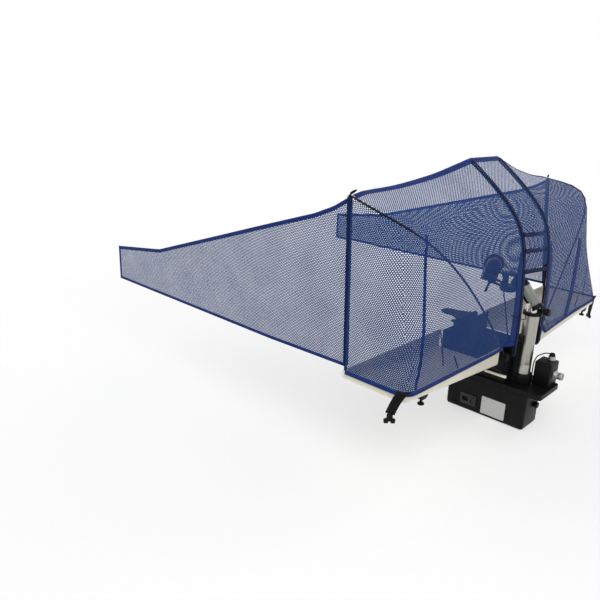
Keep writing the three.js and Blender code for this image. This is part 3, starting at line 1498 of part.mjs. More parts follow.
function footBracket(side) {
  const half = footBracketLength / 2;
  const slab = box(
    footX - footBracketDepth / 2, footX + footBracketDepth / 2,
    side * footSide - half, side * footSide + half, footBracketFoot, footTop + trayBottomRadius);
  const tray = join(trayBlock(0, side, trayOuter + overrun).translate(0, 0, -gap),
    trayBlock(0, side, trayOuter + overrun).translate(0, 0, trayBottomRadius));
  const thread = rod(footShankRadius + gap, footBracketHeight * 3, 16)
    .translate(footX, side * footSide, footBracketFoot - footBracketHeight);
  const lowerHalf = half * 0.45;
  const taper = [-1, 1].map((end) => wallFromEnd(polygon([
    [side * footSide + end * half * 1.1, footBracketFoot - gap],
    [side * footSide + end * lowerHalf, footBracketFoot - gap],
    [side * footSide + end * half * 1.1, footBracketFoot + footBracketHeight * 0.7],
  ]), footX - footBracketDepth, footBracketDepth * 2));
  return cut(slab, tray, thread, ...taper);
}

function trayFoot(side) {
  const shank = rod(footShankRadius, footShankLength + footBracketHeight * 0.5, 16)
    .translate(0, 0, -footShankLength);
  const edge = footDiscHeight * 0.25;
  const disc = turned([
    [0, 0], [footDiscRadius - edge, 0], [footDiscRadius, edge], [footDiscRadius, footDiscHeight - edge],
    [footDiscRadius - edge, footDiscHeight], [0, footDiscHeight],
  ], 24).translate(0, 0, -footShankLength - footDiscHeight + gap);
  return join(shank, disc).translate(footX, side * footSide, footBracketFoot);
}

// Rods of the net
const rodSteps = 18;
const rodSides = 8;

function cornerPole(side) {
  const axis = cornerAxis(side);
  const length = axis.top.distanceTo(axis.foot);
  return tubeOnAxis(axis, -cornerSeatDepth + gap, length, cornerPoleRadius, 12);
}

// Rib in the plane y = ribOffset: shares of its forward reach and of its rise, tip first
const ribReachShares = [0, 0.435, 0.773, 0.9, 0.977, 1, 1];
const ribRiseShares = [1, 0.866, 0.728, 0.617, 0.366, 0.13, 0];

function ribPoint(k, side) {
  const rise = ribTipRise + ribFootDrop - gap;
  return [
    ribTipForward + (ribFoot - ribTipForward) * ribReachShares[k], side * ribOffset,
    -ribFootDrop + gap + rise * ribRiseShares[k],
  ];
}

function ribPath(side) {
  return smoothPath(ribReachShares.map((_, k) => ribPoint(k, side)));
}

// Pull points of the bow rod: shares of its reach, of its span and of its rise
const bowPullShares = [[0.1, 1.15, 0.915], [0.12, 0.73, 0.88]];

function bowPath(side) {
  const { top } = cornerAxis(side);
  const foot = new THREE.Vector3(bowFootForward, side * bowFootSide, -bowFootDrop);
  const start = top.clone().add(new THREE.Vector3(cornerPoleRadius + bowRadius + gap, 0, -cornerPoleRadius));
  const [first, second] = bowPullShares.map(([reach, span, rise]) => new THREE.Vector3(
    bowFootForward - bowReach * reach, side * (bowFootSide + bowSpan * span), bowRise * rise - bowFootDrop));
  return new THREE.CubicBezierCurve3(start, first, second, foot);
}

// Surfaces of the hood. The upper part runs from the rib to the bow rod, the lower
// part from the bow rod to the hem round the tray.
const hoodRows = 18;
const upperColumns = 3;
const lowerColumns = 6;
const hemRound = trayCornerRadius + hemStandOff;

function outwardOnRib(s, side, distance) {
  const path = ribPath(side);
  const point = path.getPointAt(s);
  const along = path.getTangentAt(s);
  const out = new THREE.Vector3(-along.z, 0, along.x);
  if (out.x < 0) out.negate();
  return point.addScaledVector(out, distance);
}

// Point outside the bow rod, square to the line from the rib to the hem
function outwardOnBow(s, rib, hem, sag, distance) {
  const path = bowPath(Math.sign(hem.y));
  const point = path.getPointAt(s);
  const beside = point.clone().lerp(rib, 1 / upperColumns);
  beside.z -= sag;
  const toRib = beside.sub(point).normalize();
  const toHem = hem.clone().sub(point).normalize();
  const along = path.getTangentAt(s);
  const out = along.cross(toRib.sub(toHem)).normalize();
  if (out.x + out.z < 0) out.negate();
  return point.addScaledVector(out, distance);
}

// Share of a rod's length at which it comes down to a height
function shareAtRise(path, rise) {
  let share = 1;
  while (path.getPointAt(share).z < rise) share -= 0.005;
  return share;
}

// Where a bow rod comes out from under the hood
function bowLeaving(side) {
  const path = bowPath(side);
  return path.getPointAt(shareAtRise(path, hoodFootRise));
}

// Knot of the hem beside a row of the hood: along the tray's side, round its corner, along its end
function hemPoint(row, side) {
  const outer = trayOuter + hemStandOff;
  const rear = trayEnd + hemStandOff;
  const start = cornerPoleRadius + clothStandOff + cornerFootForward;
  const pastCorner = row - hemSideRows - hemCornerRows;
  if (row < hemSideRows) {
    const x = start + (rear - hemRound - start) * row / hemSideRows;
    return new THREE.Vector3(x, side * outer, hemRise);
  }
  if (pastCorner <= 0) {
    const angle = (row - hemSideRows) / hemCornerRows * (Math.PI / 2);
    const x = rear - hemRound + hemRound * Math.sin(angle);
    const y = outer - hemRound + hemRound * Math.cos(angle);
    return new THREE.Vector3(x, side * y, hemRise);
  }
  const share = pastCorner / (hoodRows - hemSideRows - hemCornerRows);
  const inner = Math.abs(bowLeaving(side).y) + clothStandOff;
  const flare = bowFootForward + bowRadius + clothStandOff * 2 - rear;
  return new THREE.Vector3(
    rear + flare * share, side * ((outer - hemRound) * (1 - share) + inner * share),
    hemRise - (side > 0 ? farHemDrop * share * share : 0));
}

function hoodGrid(side) {
  const grid = [];
  const ribShare = shareAtRise(ribPath(side), hoodFootRise);
  const bowShare = shareAtRise(bowPath(side), hoodFootRise);
  for (let i = 0; i <= hoodRows; i += 1) {
    const s = i / hoodRows;
    const rib = outwardOnRib(s * ribShare, side, ribRadius + clothStandOff);
    rib.y += side * clothSplit;
    const hem = hemPoint(i, side);
    const sag = mouthSag * Math.sin(Math.PI / upperColumns) * (1 - s) ** 2;
    const bow = outwardOnBow(s * bowShare, rib, hem, sag, bowRadius + clothStandOff * (2 - s));
    const row = [rib];
    for (let j = 1; j < upperColumns; j += 1) {
      const point = rib.clone().lerp(bow, j / upperColumns);
      point.z -= sag;
      row.push(point);
    }
    for (let j = 0; j <= lowerColumns; j += 1) {
      const t = j / lowerColumns;
      const point = bow.clone().lerp(hem, t);
      const wave = Math.abs(Math.sin(s * Math.PI * hoodFoldCount)) * Math.min(1, s * (hoodFoldCount + 1));
      const out = new THREE.Vector3(point.x - poleFromTable / 2, point.y - side * hopperMouthHalf, 0);
      row.push(point.addScaledVector(out.normalize(), hoodFoldDepth * Math.sin(Math.PI * t) * wave));
    }
    grid.push(row);
  }
  return grid;
}

function hoodSide(side) {
  return clothSheet(hoodGrid(side), clothThickness);
}

// Panel between the ribs, from their tips down to the lowest tape
function hoodBack() {
  const grid = [];
  const rows = 12;
  const end = shareAtRise(ribPath(1), backPanelFootRise);
  for (let i = 0; i <= rows; i += 1) {
    const s = (i / rows) * end;
    const left = outwardOnRib(s, -1, ribRadius + clothStandOff);
    const right = outwardOnRib(s, 1, ribRadius + clothStandOff);
    left.y += clothSplit;
    right.y -= clothSplit;
    grid.push([0, 0.25, 0.5, 0.75, 1].map((t) => left.clone().lerp(right, t)));
  }
  return clothSheet(grid, clothThickness);
}

// Side net from the corner pole to the court's own net, with open gaps
const sideNetTopShares = [
  [0, 1], [0.04, 0.914], [0.095, 0.833], [0.442, 0.452], [0.751, 0.115], [1, 0],
];
const sideNetColumns = 12;
const sideNetRows = 4;
const strandShare = 0.2;

function netTopShare(share) {
  let k = 1;
  while (share > sideNetTopShares[k][0]) k += 1;
  const [s0, h0] = sideNetTopShares[k - 1];
  const [s1, h1] = sideNetTopShares[k];
  return h0 + (h1 - h0) * (share - s0) / (s1 - s0);
}

function sideNetGrid(side) {
  const axis = cornerAxis(side);
  const grid = [];
  const out = trayOuter + sideNetStandOff;
  const end = -courtNetDistance + sideNetEndSetIn;
  for (let i = 0; i <= sideNetColumns; i += 1) {
    const share = i / sideNetColumns;
    const seat = cornerPoleRadius + sideNetThickness / 2 + gap;
    const topX = axis.top.x - seat;
    const footX0 = axis.foot.x - seat;
    const turn = Math.min(share * sideNetTurn, 1);
    const topY = Math.abs(axis.top.y) * (1 - turn) + out * turn;
    const footY = Math.abs(axis.foot.y) * (1 - turn) + out * turn;
    const topZ = sideNetEndRise + (axis.top.z - cornerPoleRadius * 2 - sideNetEndRise) * netTopShare(share);
    const top = new THREE.Vector3(topX + (end - topX) * share, side * topY, topZ);
    const foot = new THREE.Vector3(footX0 + (end - footX0) * share, side * footY, sideNetFoot);
    const row = [];
    for (let j = 0; j <= sideNetRows; j += 1) row.push(foot.clone().lerp(top, j / sideNetRows));
    grid.push(row);
  }
  return grid;
}

function sideNet(side) {
  return openNet(sideNetGrid(side), sideNetThickness, strandShare);
}

// Strap over the tray's corner, and the buckle half on its end
function strapPoints(side) {
  const root = hemRound * Math.cos(Math.PI / 4 / hemCornerRows) + (clothThickness + strapThickness) / 2
    + gap - strapTuck;
  const [standOff, lean, swing, hangLength] = side < 0
    ? [nearStrapStandOff, nearStrapLean, nearStrapSwing, nearStrapHang]
    : [farStrapStandOff, farStrapLean, farStrapSwing, farStrapHang];
  return strapShares.map(([out, rise, hang, leanShare]) => {
    const away = (root + out * standOff) * Math.SQRT1_2;
    return new THREE.Vector3(
      trayEnd - trayCornerRadius + away - lean * leanShare,
      side * (trayOuter - trayCornerRadius + away + swing * leanShare),
      hemRise + strapRise * rise - hangLength * hang);
  });
}

// Knots of a strap: shares of its stand-off, of its rise over the rim, of its hang and of its lean
const strapShares = [
  [0, 0.2, 0, 0], [0.15, 0.8, 0, 0.08], [0.45, 1, 0, 0.24], [0.85, 0.75, 0, 0.4],
  [1, 0, 0, 0.54], [1.08, 0, 0.3, 0.74], [1.05, 0, 0.62, 0.9], [1, 0, 0.86, 1],
];
const strapAcross = (side) => new THREE.Vector3(Math.SQRT1_2, -side * Math.SQRT1_2, 0);

function netStrap(side) {
  return ribbon(strapPoints(side), strapAcross(side), strapWidth, strapThickness);
}

function strapBuckle(side) {
  const end = strapPoints(side).at(-1);
  const halfStem = buckleStemWidth / 2;
  const half = buckleWidth / 2;
  const shoulder = -buckleStemLength - buckleThickness * 0.4;
  const outline = polygon([
    [-halfStem, 0], [halfStem, 0], [halfStem, -buckleStemLength], [half, shoulder],
    [half * 0.92, -buckleLength], [half * 0.25, -buckleLength], [half * 0.2, -buckleLength * 0.8],
    [-half * 0.2, -buckleLength * 0.8], [-half * 0.25, -buckleLength],
    [-half * 0.92, -buckleLength], [-half, shoulder], [-halfStem, -buckleStemLength],
  ]);
  return wallFromSide(outline, -buckleThickness / 2, buckleThickness)
    .rotateZ(-side * Math.PI / 4).translate(end.x, end.y, end.z - gap);
}

// Point just outside the hood, over one knot of its grid
function hoodSeat(side, row, column, distance) {
  const grid = hoodGrid(side);
  const normal = gridNormals(grid)[row][column];
  if (normal.x < 0) normal.negate();
  return grid[row][column].clone().addScaledVector(normal, distance);
}

// Thin elastic from the collar to the hood, one on each side
function elasticPath(side) {
  const start = poleRadius + gap + collarWall + elasticRadius + gap;
  const angle = side < 0 ? nearElasticAngle : farElasticAngle;
  const [row, column] = side < 0 ? [hoodRows - 3, 1] : [hoodRows - 1, upperColumns + lowerColumns];
  const end = hoodSeat(side, row, column, clothThickness / 2 + elasticRadius + gap).toArray();
  const z = poleTopRise;
  const first = [poleFromTable + start * Math.cos(angle), start * Math.sin(angle), z];
  if (side > 0) return straight(first, end);
  return smoothPath([
    first, [ribFoot + ribRadius * 4, -ribOffset * 0.7, z - collarSkirt],
    [ribFoot + ribRadius * 3.3, -ribOffset * 1.12, z + collarSkirt], end,
  ]);
}

// The assembly
place('base_housing', baseHousing(), blackPlastic);
place('base_lid', baseLid(), blackPlastic);
place('service_panel', servicePanel(), blackPlastic);
place('power_inlet', powerInlet(), softBlack);
const rocker = place('rocker_switch', rockerSwitch(), softBlack);
rocker.position.set(rockerCentreX - rockerLength / 2, rockerPivotY, inletMiddle);
const cover = place('cover_knob', coverKnob(), blackPlastic);
cover.position.set(baseEnd, coverKnobOffset, coverKnobRise);

const wheelMesh = place('feed_wheel', feedWheel(), whitePlastic);
wheelMesh.position.set(feedWheelAxis, baseMiddle, feedPlateTop + feedPocketPlay);
place('feed_plate', feedPlate(), blackPlastic);
place('feed_motor', feedMotor(), copperDark).position.set(feedWheelAxis, baseMiddle, feedMotorTop);
place('power_supply', powerSupply(), zincSteel)
  .position.set(baseEnd - baseWall - supplySetIn - supplyLength / 2, baseMiddle, 0);

place('drive_housing', driveHousing(), blackPlastic);
place('head_socket', headSocket(), zincSteel).position.set(headSocketX, headSocketY, driveTop + gap);
place('remote_socket', remoteSocket(), zincSteel)
  .position.set(driveX1 + gap, driveOffset + remoteSocketSide, lidTop + remoteSocketRise);
place('socket_lead', socketLead(), softBlack);
place('head_lead', sweep(headLeadPath(), leadRadius, 26, 6), softBlack);

place('hopper', hopperShell(), blackPlastic);
place('near_side_rail', sideRail(-1), creamPlastic);
place('far_side_rail', sideRail(1), creamPlastic);
place('ball_pole', ballPole(), satinAluminium).position.set(poleFromTable, 0, 0);
place('pole_cradle', poleCradle(), blackPlastic).position.set(poleFromTable, 0, 0);
place('pole_collar', poleCollar(), blackPlastic).position.set(poleFromTable, 0, 0);
place('clamp_knob', clampKnob(), blackPlastic).position.set(clampKnobX, 0, lugAxis);

place('neck_tube', neckTube(), brightSteel);
place('feed_elbow', feedElbow(), blackPlastic);
place('elbow_liner', elbowLiner(), smokyClear);
place('turret_foot', turretFoot(), blackPlastic).position.set(turretFromTable, 0, 0);

// Everything that turns with the head stands in a group turned by its yaw
const turret = new THREE.Group();
turret.position.set(turretFromTable, 0, 0);
turret.rotation.z = Math.PI + THREE.MathUtils.degToRad(headYaw);
robot.add(turret);
place('pan_drum', panDrum(), blackPlastic, turret);
place('head_body', headBody(), blackPlastic, turret);
place('nozzle_ring', nozzleRing(), whitePlastic, turret);
place('throwing_wheel', throwingWheel(), orangeTyre, turret);
place('wheel_motor', wheelMotor(), softBlack, turret);
place('wheel_guard', wheelGuard(), smokyClear, turret);
place('tilt_lever', tiltLever(), blackPlastic, turret);

place('table_hook', tableHook(), blackPlastic);
place('hook_pad', hookPad(), softBlack);
place('clamp_pad', clampPad(), softBlack);
place('clamp_screw', clampScrew(), zincSteel);

for (const [name, side] of [['near', -1], ['far', 1]]) {
  place(`${name}_tray`, catchTray(side), creamPlastic);
  place(`${name}_foot_bracket`, footBracket(side), blackPlastic);
  place(`${name}_tray_foot`, trayFoot(side), blackPlastic);
  place(`${name}_corner_pole`, cornerPole(side), blackRod);
  place(`${name}_rib`, sweep(ribPath(side), ribRadius, rodSteps, rodSides), blackRod);
  place(`${name}_bow_rod`, sweep(bowPath(side), bowRadius, rodSteps, rodSides), blackRod);
  place(`${name}_hood`, hoodSide(side), blueNet);
  place(`${name}_side_net`, sideNet(side), blueNet);
  place(`${name}_strap`, netStrap(side), blackWebbing);
  place(`${name}_buckle`, strapBuckle(side), blackPlastic);
  place(`${name}_elastic`, sweep(elasticPath(side), elasticRadius, side < 0 ? 12 : 1, 6), blackWebbing);
}
place('back_hood', hoodBack(), blueNet);

export default robot;
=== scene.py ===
import heapq
import json
import math

import bmesh
import bpy
from mathutils import Matrix, Vector, noise
from mathutils.bvhtree import BVHTree


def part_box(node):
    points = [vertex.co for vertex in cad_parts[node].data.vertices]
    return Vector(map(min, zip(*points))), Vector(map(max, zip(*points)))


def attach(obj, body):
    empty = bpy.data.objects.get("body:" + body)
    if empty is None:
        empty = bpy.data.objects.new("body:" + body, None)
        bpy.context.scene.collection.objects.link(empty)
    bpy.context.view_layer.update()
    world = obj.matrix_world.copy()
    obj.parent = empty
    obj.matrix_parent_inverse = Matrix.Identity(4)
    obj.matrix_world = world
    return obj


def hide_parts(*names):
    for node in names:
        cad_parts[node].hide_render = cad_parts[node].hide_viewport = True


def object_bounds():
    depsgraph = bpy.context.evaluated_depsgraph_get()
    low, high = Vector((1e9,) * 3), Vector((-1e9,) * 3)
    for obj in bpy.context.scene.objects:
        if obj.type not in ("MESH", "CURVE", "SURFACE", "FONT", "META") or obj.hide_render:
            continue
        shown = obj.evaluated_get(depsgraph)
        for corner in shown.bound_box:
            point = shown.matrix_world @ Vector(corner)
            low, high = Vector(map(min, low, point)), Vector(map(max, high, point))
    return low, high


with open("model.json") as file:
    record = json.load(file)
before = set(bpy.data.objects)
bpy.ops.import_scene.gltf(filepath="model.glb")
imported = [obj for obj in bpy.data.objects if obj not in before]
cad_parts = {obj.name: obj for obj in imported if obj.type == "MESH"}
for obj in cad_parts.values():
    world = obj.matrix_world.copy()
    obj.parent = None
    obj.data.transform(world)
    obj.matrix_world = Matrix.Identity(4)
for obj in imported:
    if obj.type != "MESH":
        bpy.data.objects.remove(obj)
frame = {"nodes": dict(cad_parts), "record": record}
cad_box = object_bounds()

SIDES = {"near": -1, "far": 1}
BODY = {node: name for name, nodes in frame["record"]["behaviour"]["bodies"].items()
        for node in nodes}

# Camera, fitted to the photograph
CAMERA_PLACE = (1.1517, -2.1665, 0.8007)
CAMERA_RIGHT = (0.71342, 0.69999, 0.03230)
CAMERA_DOWN = (0.23489, -0.19546, -0.95217)
CAMERA_AHEAD = (-0.66020, 0.68688, -0.30386)
FOCAL_PIXELS = 607.91
IMAGE_PIXELS = 600
SENSOR_MM = 36

# Stage
WORLD_LIGHT = 0.62
LIGHTS_AIM = (0, 0, 0.1)
# Name, place, size and power of each light
LIGHTS = (("key", (1.6, -2.2, 2.6), 2.2, 42), ("fill", (-2.4, -1.6, 1.8), 2.4, 20),
          ("rim", (1.2, 2.6, 2.2), 2.0, 22))
FLOOR_RADIUS = 6
FLOOR_SEGMENTS = 96
FLOOR_DROP = 0.001
FLOOR_FADES = (1.0, 3.0)
FLOOR_STRENGTH = 0.5
FLOOR_TONES = ((0.95, 0.95, 0.95, 1), (0.98, 0.98, 0.98, 1))
WHITE = (1, 1, 1, 1)

# Colours, linear
BLACK_MOULDING = (0.0065, 0.0066, 0.0074)
BLACK_RUBBER = (0.0055, 0.0055, 0.006)
CREAM = (0.80, 0.76, 0.64)
NET_BLUE = (0.012, 0.046, 0.170)
# The folded net's darker blue is painted shade of its folds and gathers; its smaller holes are the
# doubled cloth.
FOLD_SHADED_BLUE = (0.009, 0.030, 0.140)
TAPE_BLUE = (0.009, 0.024, 0.125)
SLEEVE_BLUE = (0.0035, 0.0085, 0.042)
ALUMINIUM = (0.39, 0.385, 0.35)

# Gloss of black mouldings and of cloth, and the usual gloss
DULL = 0.10
GLOSSY = 0.5

# Noises of the looks: the span of values that they keep to, then their scales
NOISE_SPAN = (0.3, 0.7)
CLOUD_SCALE = 14
DUST_SCALE = 160
SMUDGE_SCALE = 40
MARK_SCALE = 30
SMEAR_SCALE = 2
SLACK_SCALE = 9
YARN_SCALE = 900
LINT_SCALE = 35

# Mouldings: where dust and worn edges show, how bright they are, and the grain's depth
DUST_SHOWS = (0.62, 0.8)
DUST_SHARE = 0.35
EDGE_SHOWS = (0.52, 0.62)
WORN = 2.2
ROUGHNESS_PLAY = 0.07
GRAIN_DEPTH = 0.00006
MARK_DEPTH = 0.00005

# Net cloth: step and radius of the holes, slack, and how far it lies from the solids
NET_PITCH = 0.0063
NET_HOLE = 0.0018
FOLD_HOLE = 0.0008
HOLE_PLAY = 0.06
YARN_EDGE = (-0.00025, 0.00015)
KNIT_DEPTH = 0.0005
NET_SHEEN = 0.04
WRINKLE = 0.0035
WRINKLE_REACH = 0.07
PULLS = 9
PULLS_UP = 3.5
PUCKERS = 26
PUCKERS_UP = 14
PUCKER_SHARE = 0.25
CLOTH_LIFT = 0.0009
LOW_LIFT = 0.0006
TAPE_THICKNESS = 0.0010
RIM_WIDTH = 0.0016
LAY_REACH = 0.02

# Woven tape: cords across it, its stitches, and its depth
CORDS_ACROSS = 14
STITCH_RATE = 240
STITCH_ROW = 0.36
STITCH_SHOWS = (0.03, 0.05)
STITCH_BRIGHT = 2.6
STITCH_HEIGHT = 1.5
WEAVE_DEPTH = 0.0003
TAPE_SHEEN = 0.03

# Widths and thicknesses of the tapes
MOUTH_TAPE = 0.024
HEM_TAPE = 0.013
HEM_THICKNESS = 0.0016
SLEEVE_WIDTH = 0.019
SLEEVE_THICKNESS = 0.0012
BRIDGE_TAPE = 0.016
NET_TOP_TAPE = 0.015
NET_FOOT_TAPE = 0.012
NET_TAPE_THICKNESS = 0.0018

# Places repeated from the part's source
CORNER_FEET = {"near": (0.010, -0.7555, -0.010), "far": (0.010, 0.7555, -0.010)}
CORNER_TOPS = {"near": (-0.029, -0.735, 0.551), "far": (-0.026, 0.692, 0.521)}
RIB_SIDE = 0.104
RIB_ROUTE = [
    (0.0120, 0.6270), (0.0558, 0.5928), (0.0994, 0.5582), (0.1408, 0.5211), (0.1804, 0.4820),
    (0.2151, 0.4386), (0.2393, 0.3887), (0.2526, 0.3348), (0.2595, 0.2796), (0.2639, 0.2242),
    (0.2678, 0.1687), (0.2702, 0.1131), (0.2716, 0.0575), (0.2723, 0.0019), (0.2720, -0.0537),
]
STRAP_ROUTES = {
    "near": [
        (0.2468, -0.7543, -0.0086), (0.2463, -0.7579, -0.0026), (0.2453, -0.7639, 0.0006),
        (0.2446, -0.7708, 0.0008), (0.2446, -0.7776, -0.0011), (0.2435, -0.7827, -0.0056),
        (0.2419, -0.7864, -0.0113), (0.2402, -0.7896, -0.0173), (0.2384, -0.7924, -0.0235),
        (0.2367, -0.7950, -0.0298), (0.2349, -0.7971, -0.0362), (0.2332, -0.7990, -0.0427),
        (0.2314, -0.8007, -0.0493), (0.2298, -0.8022, -0.0559), (0.2282, -0.8037, -0.0626)],
    "far": [
        (0.2468, 0.7543, -0.0086), (0.2468, 0.7550, -0.0020), (0.2468, 0.7588, -0.0012),
        (0.2464, 0.7599, -0.0077), (0.2457, 0.7602, -0.0143), (0.2452, 0.7603, -0.0209),
        (0.2447, 0.7604, -0.0276), (0.2442, 0.7604, -0.0342), (0.2436, 0.7605, -0.0408),
        (0.2431, 0.7604, -0.0475), (0.2426, 0.7604, -0.0541), (0.2420, 0.7603, -0.0607),
        (0.2415, 0.7602, -0.0674), (0.2410, 0.7601, -0.0740), (0.2405, 0.7600, -0.0807)],
}
ELASTIC_ROUTES = {
    "near": [
        (0.2636, -0.0315, 0.0900), (0.2685, -0.0390, 0.0886), (0.2736, -0.0463, 0.0870),
        (0.2787, -0.0537, 0.0855), (0.2834, -0.0614, 0.0843), (0.2871, -0.0697, 0.0839),
        (0.2890, -0.0785, 0.0847), (0.2894, -0.0873, 0.0866), (0.2887, -0.0960, 0.0891),
        (0.2874, -0.1046, 0.0920), (0.2859, -0.1131, 0.0949), (0.2841, -0.1215, 0.0977),
        (0.2818, -0.1298, 0.1007), (0.2791, -0.1379, 0.1038), (0.2762, -0.1459, 0.1070),
        (0.2733, -0.1539, 0.1101), (0.2705, -0.1620, 0.1133)],
    "far": [
        (0.3045, 0.0223, 0.0900), (0.3021, 0.0340, 0.0837), (0.2998, 0.0457, 0.0773),
        (0.2975, 0.0574, 0.0710), (0.2952, 0.0692, 0.0646), (0.2929, 0.0809, 0.0583),
        (0.2905, 0.0926, 0.0520), (0.2882, 0.1043, 0.0456), (0.2859, 0.1160, 0.0393),
        (0.2836, 0.1277, 0.0329), (0.2812, 0.1395, 0.0266), (0.2789, 0.1512, 0.0203),
        (0.2766, 0.1629, 0.0139), (0.2743, 0.1746, 0.0076), (0.2720, 0.1863, 0.0012),
        (0.2696, 0.1980, -0.0051), (0.2673, 0.2097, -0.0114)],
}
HEAD_LEAD_ROUTE = [
    (0.1624, -0.0096, 0.1517), (0.1623, -0.0095, 0.1425), (0.1646, -0.0105, 0.1338),
    (0.1679, -0.0118, 0.1253), (0.1712, -0.0132, 0.1168), (0.1743, -0.0143, 0.1083),
    (0.1771, -0.0153, 0.0996), (0.1797, -0.0161, 0.0908), (0.1822, -0.0169, 0.0821),
    (0.1847, -0.0176, 0.0733), (0.1872, -0.0184, 0.0645), (0.1897, -0.0192, 0.0556),
    (0.1920, -0.0201, 0.0468), (0.1943, -0.0209, 0.0380), (0.1965, -0.0218, 0.0291),
    (0.1988, -0.0227, 0.0203), (0.2013, -0.0236, 0.0115), (0.2041, -0.0245, 0.0028),
    (0.2071, -0.0254, -0.0058), (0.2103, -0.0262, -0.0143), (0.2140, -0.0271, -0.0227),
    (0.2183, -0.0278, -0.0307), (0.2236, -0.0284, -0.0383), (0.2299, -0.0288, -0.0449),
    (0.2382, -0.0288, -0.0485)]

# Side net: its top edge, as share of its length and share of its height there, then its ends
SIDE_NET_TOP = [(0, 1), (0.04, 0.914), (0.095, 0.833), (0.442, 0.452), (0.751, 0.115), (1, 0)]
SIDE_NET_END = -1.360
SIDE_NET_SIDE = 0.7695
SIDE_NET_FOOT = 0.003
SIDE_NET_END_RISE = 0.158
SIDE_NET_TOP_DROP = 0.010
SIDE_NET_TURN = 4
SIDE_NET_SEAT = 0.0063
SIDE_NET_SLACK = 0.0035
SIDE_NET_BILLOWS = (6, 9, 5.0)
SIDE_NET_COLUMNS = 84
SIDE_NET_ROWS = 22

# Hoods: a place inside each, the seed of its wrinkles, its cut size and what it rests on
HOODS = {
    "near": ((0.10, -0.43, 0.22), 3.0, (0.92, 0.76),
             ["near_rib", "near_corner_pole", "near_bow_rod", "near_tray"]),
    "far": ((0.10, 0.43, 0.22), 11.0, (0.91, 0.74),
            ["far_rib", "far_corner_pole", "far_bow_rod", "far_tray"]),
    "back": ((-0.2, 0.0, 0.2), 17.0, (0.21, 0.47), ["near_rib", "far_rib"]),
}
# Where the hem meets the corner pole, and how far above the rib's foot it ends
HEM_SIDE = 0.7651
HEM_FOOT = -0.011
HEM_ABOVE_RIB_FOOT = 0.04
# How far forward and how high the back net's mouth ends at each rib
BACK_EDGE_END = (0.0155, 0.632)

# Sleeves and the tapes between the ribs
RIB_STAND_OFF = 0.0088
RIB_STEP = 0.014
CORNER_SLEEVE_RADIUS = 0.0088
CORNER_SLEEVE_PLAY = 0.0012
CORNER_SLEEVE_WAVES = 23
CORNER_SLEEVE_SEED = 4.0
CORNER_SLEEVE_SIDES = 14
CORNER_SLEEVE_START = 0.035
CORNER_SLEEVE_SHARE = 0.955
CORNER_SLEEVE_STEPS = 40
TAPE_RISES = (0.385, 0.328, 0.254)
TAPE_TILT = 0.009
BRIDGE_STEPS = 8

# Gathered cloth beside the ribs, and the fold down the far hood by pixels of the photograph
GATHER_SIDE = 0.127
GATHER_TOP = 0.345
GATHER_FOOT = -0.010
GATHER_WIDTH = 0.040
GATHER_START = 0.003
GATHER_SPREAD = 0.20
GATHER_COLUMNS = 8
FOLD_COLUMNS = 6
FAR_FOLD = [(580, 238), (578, 255), (575, 272), (572, 288), (568.5, 303), (565, 316)]
FAR_FOLD_WIDTH = 0.042
# Dark tapes along the near hood's fold lines by pixels of the photograph, each with its width:
# painted shade of the folds
FOLD_SHADE_LINES = {
    "corner_fold_shade": ([(426, 235), (425.5, 255), (425, 276), (424.5, 300), (424, 330), (421, 360),
                     (415, 390)], 0.010),
    "rear_fold_shade": ([(440, 330), (442, 348), (443, 366)], 0.005),
    "low_fold_shade": ([(454, 356), (458, 368), (459, 377)], 0.005),
}

# Straps, cords and toggles
STRAP_WIDTH = 0.030
STRAP_THICKNESS = 0.0014
STRAP_COLUMNS = 8
ELASTIC_DIAMETER = 0.003
HEAD_LEAD_DIAMETER = 0.0048
CORD_STEP = 0.004
CORD_SIDES = 12
TOGGLE_RADIUS = 0.0042
TOGGLE_STEPS = 10
TOGGLE_LIFT = 0.002
TOGGLE_END = 0.55
TOGGLE_BULGE = 1.15
# Lean and length of each toggle
TOGGLES = {"near": ((0.75, 0.35, 0.55), 0.024), "far": ((0.1, 0.1, 1), 0.012)}

# The plain plate on the near panel
PLATE_WIDTH = 0.099
PLATE_HEIGHT = 0.073
PLATE_CORNER = 0.003
PLATE_THICKNESS = 0.0006
PLATE_MIDDLE = (0.2165, -0.3035)
PLATE_GAP = 0.00035
PLATE_ARC_STEPS = 5


# Camera
def make_camera():
    data = bpy.data.cameras.new("photo_camera")
    data.sensor_width = SENSOR_MM
    data.lens = SENSOR_MM * FOCAL_PIXELS / IMAGE_PIXELS
    camera = bpy.data.objects.new("photo_camera", data)
    axes = [Vector(CAMERA_RIGHT), -Vector(CAMERA_DOWN), -Vector(CAMERA_AHEAD)]
    turn = Matrix(axes).transposed()
    camera.matrix_world = Matrix.Translation(CAMERA_PLACE) @ turn.to_4x4()
    bpy.context.scene.collection.objects.link(camera)
    bpy.context.scene.camera = camera


def pixel_ray(u, v):
    """The camera's place and the direction in which it sees a pixel of the photograph."""
    half = IMAGE_PIXELS / 2
    across, down = (u - half) / FOCAL_PIXELS, (v - half) / FOCAL_PIXELS
    ray = Vector(CAMERA_AHEAD) + Vector(CAMERA_RIGHT) * across + Vector(CAMERA_DOWN) * down
    return Vector(CAMERA_PLACE), ray.normalized()


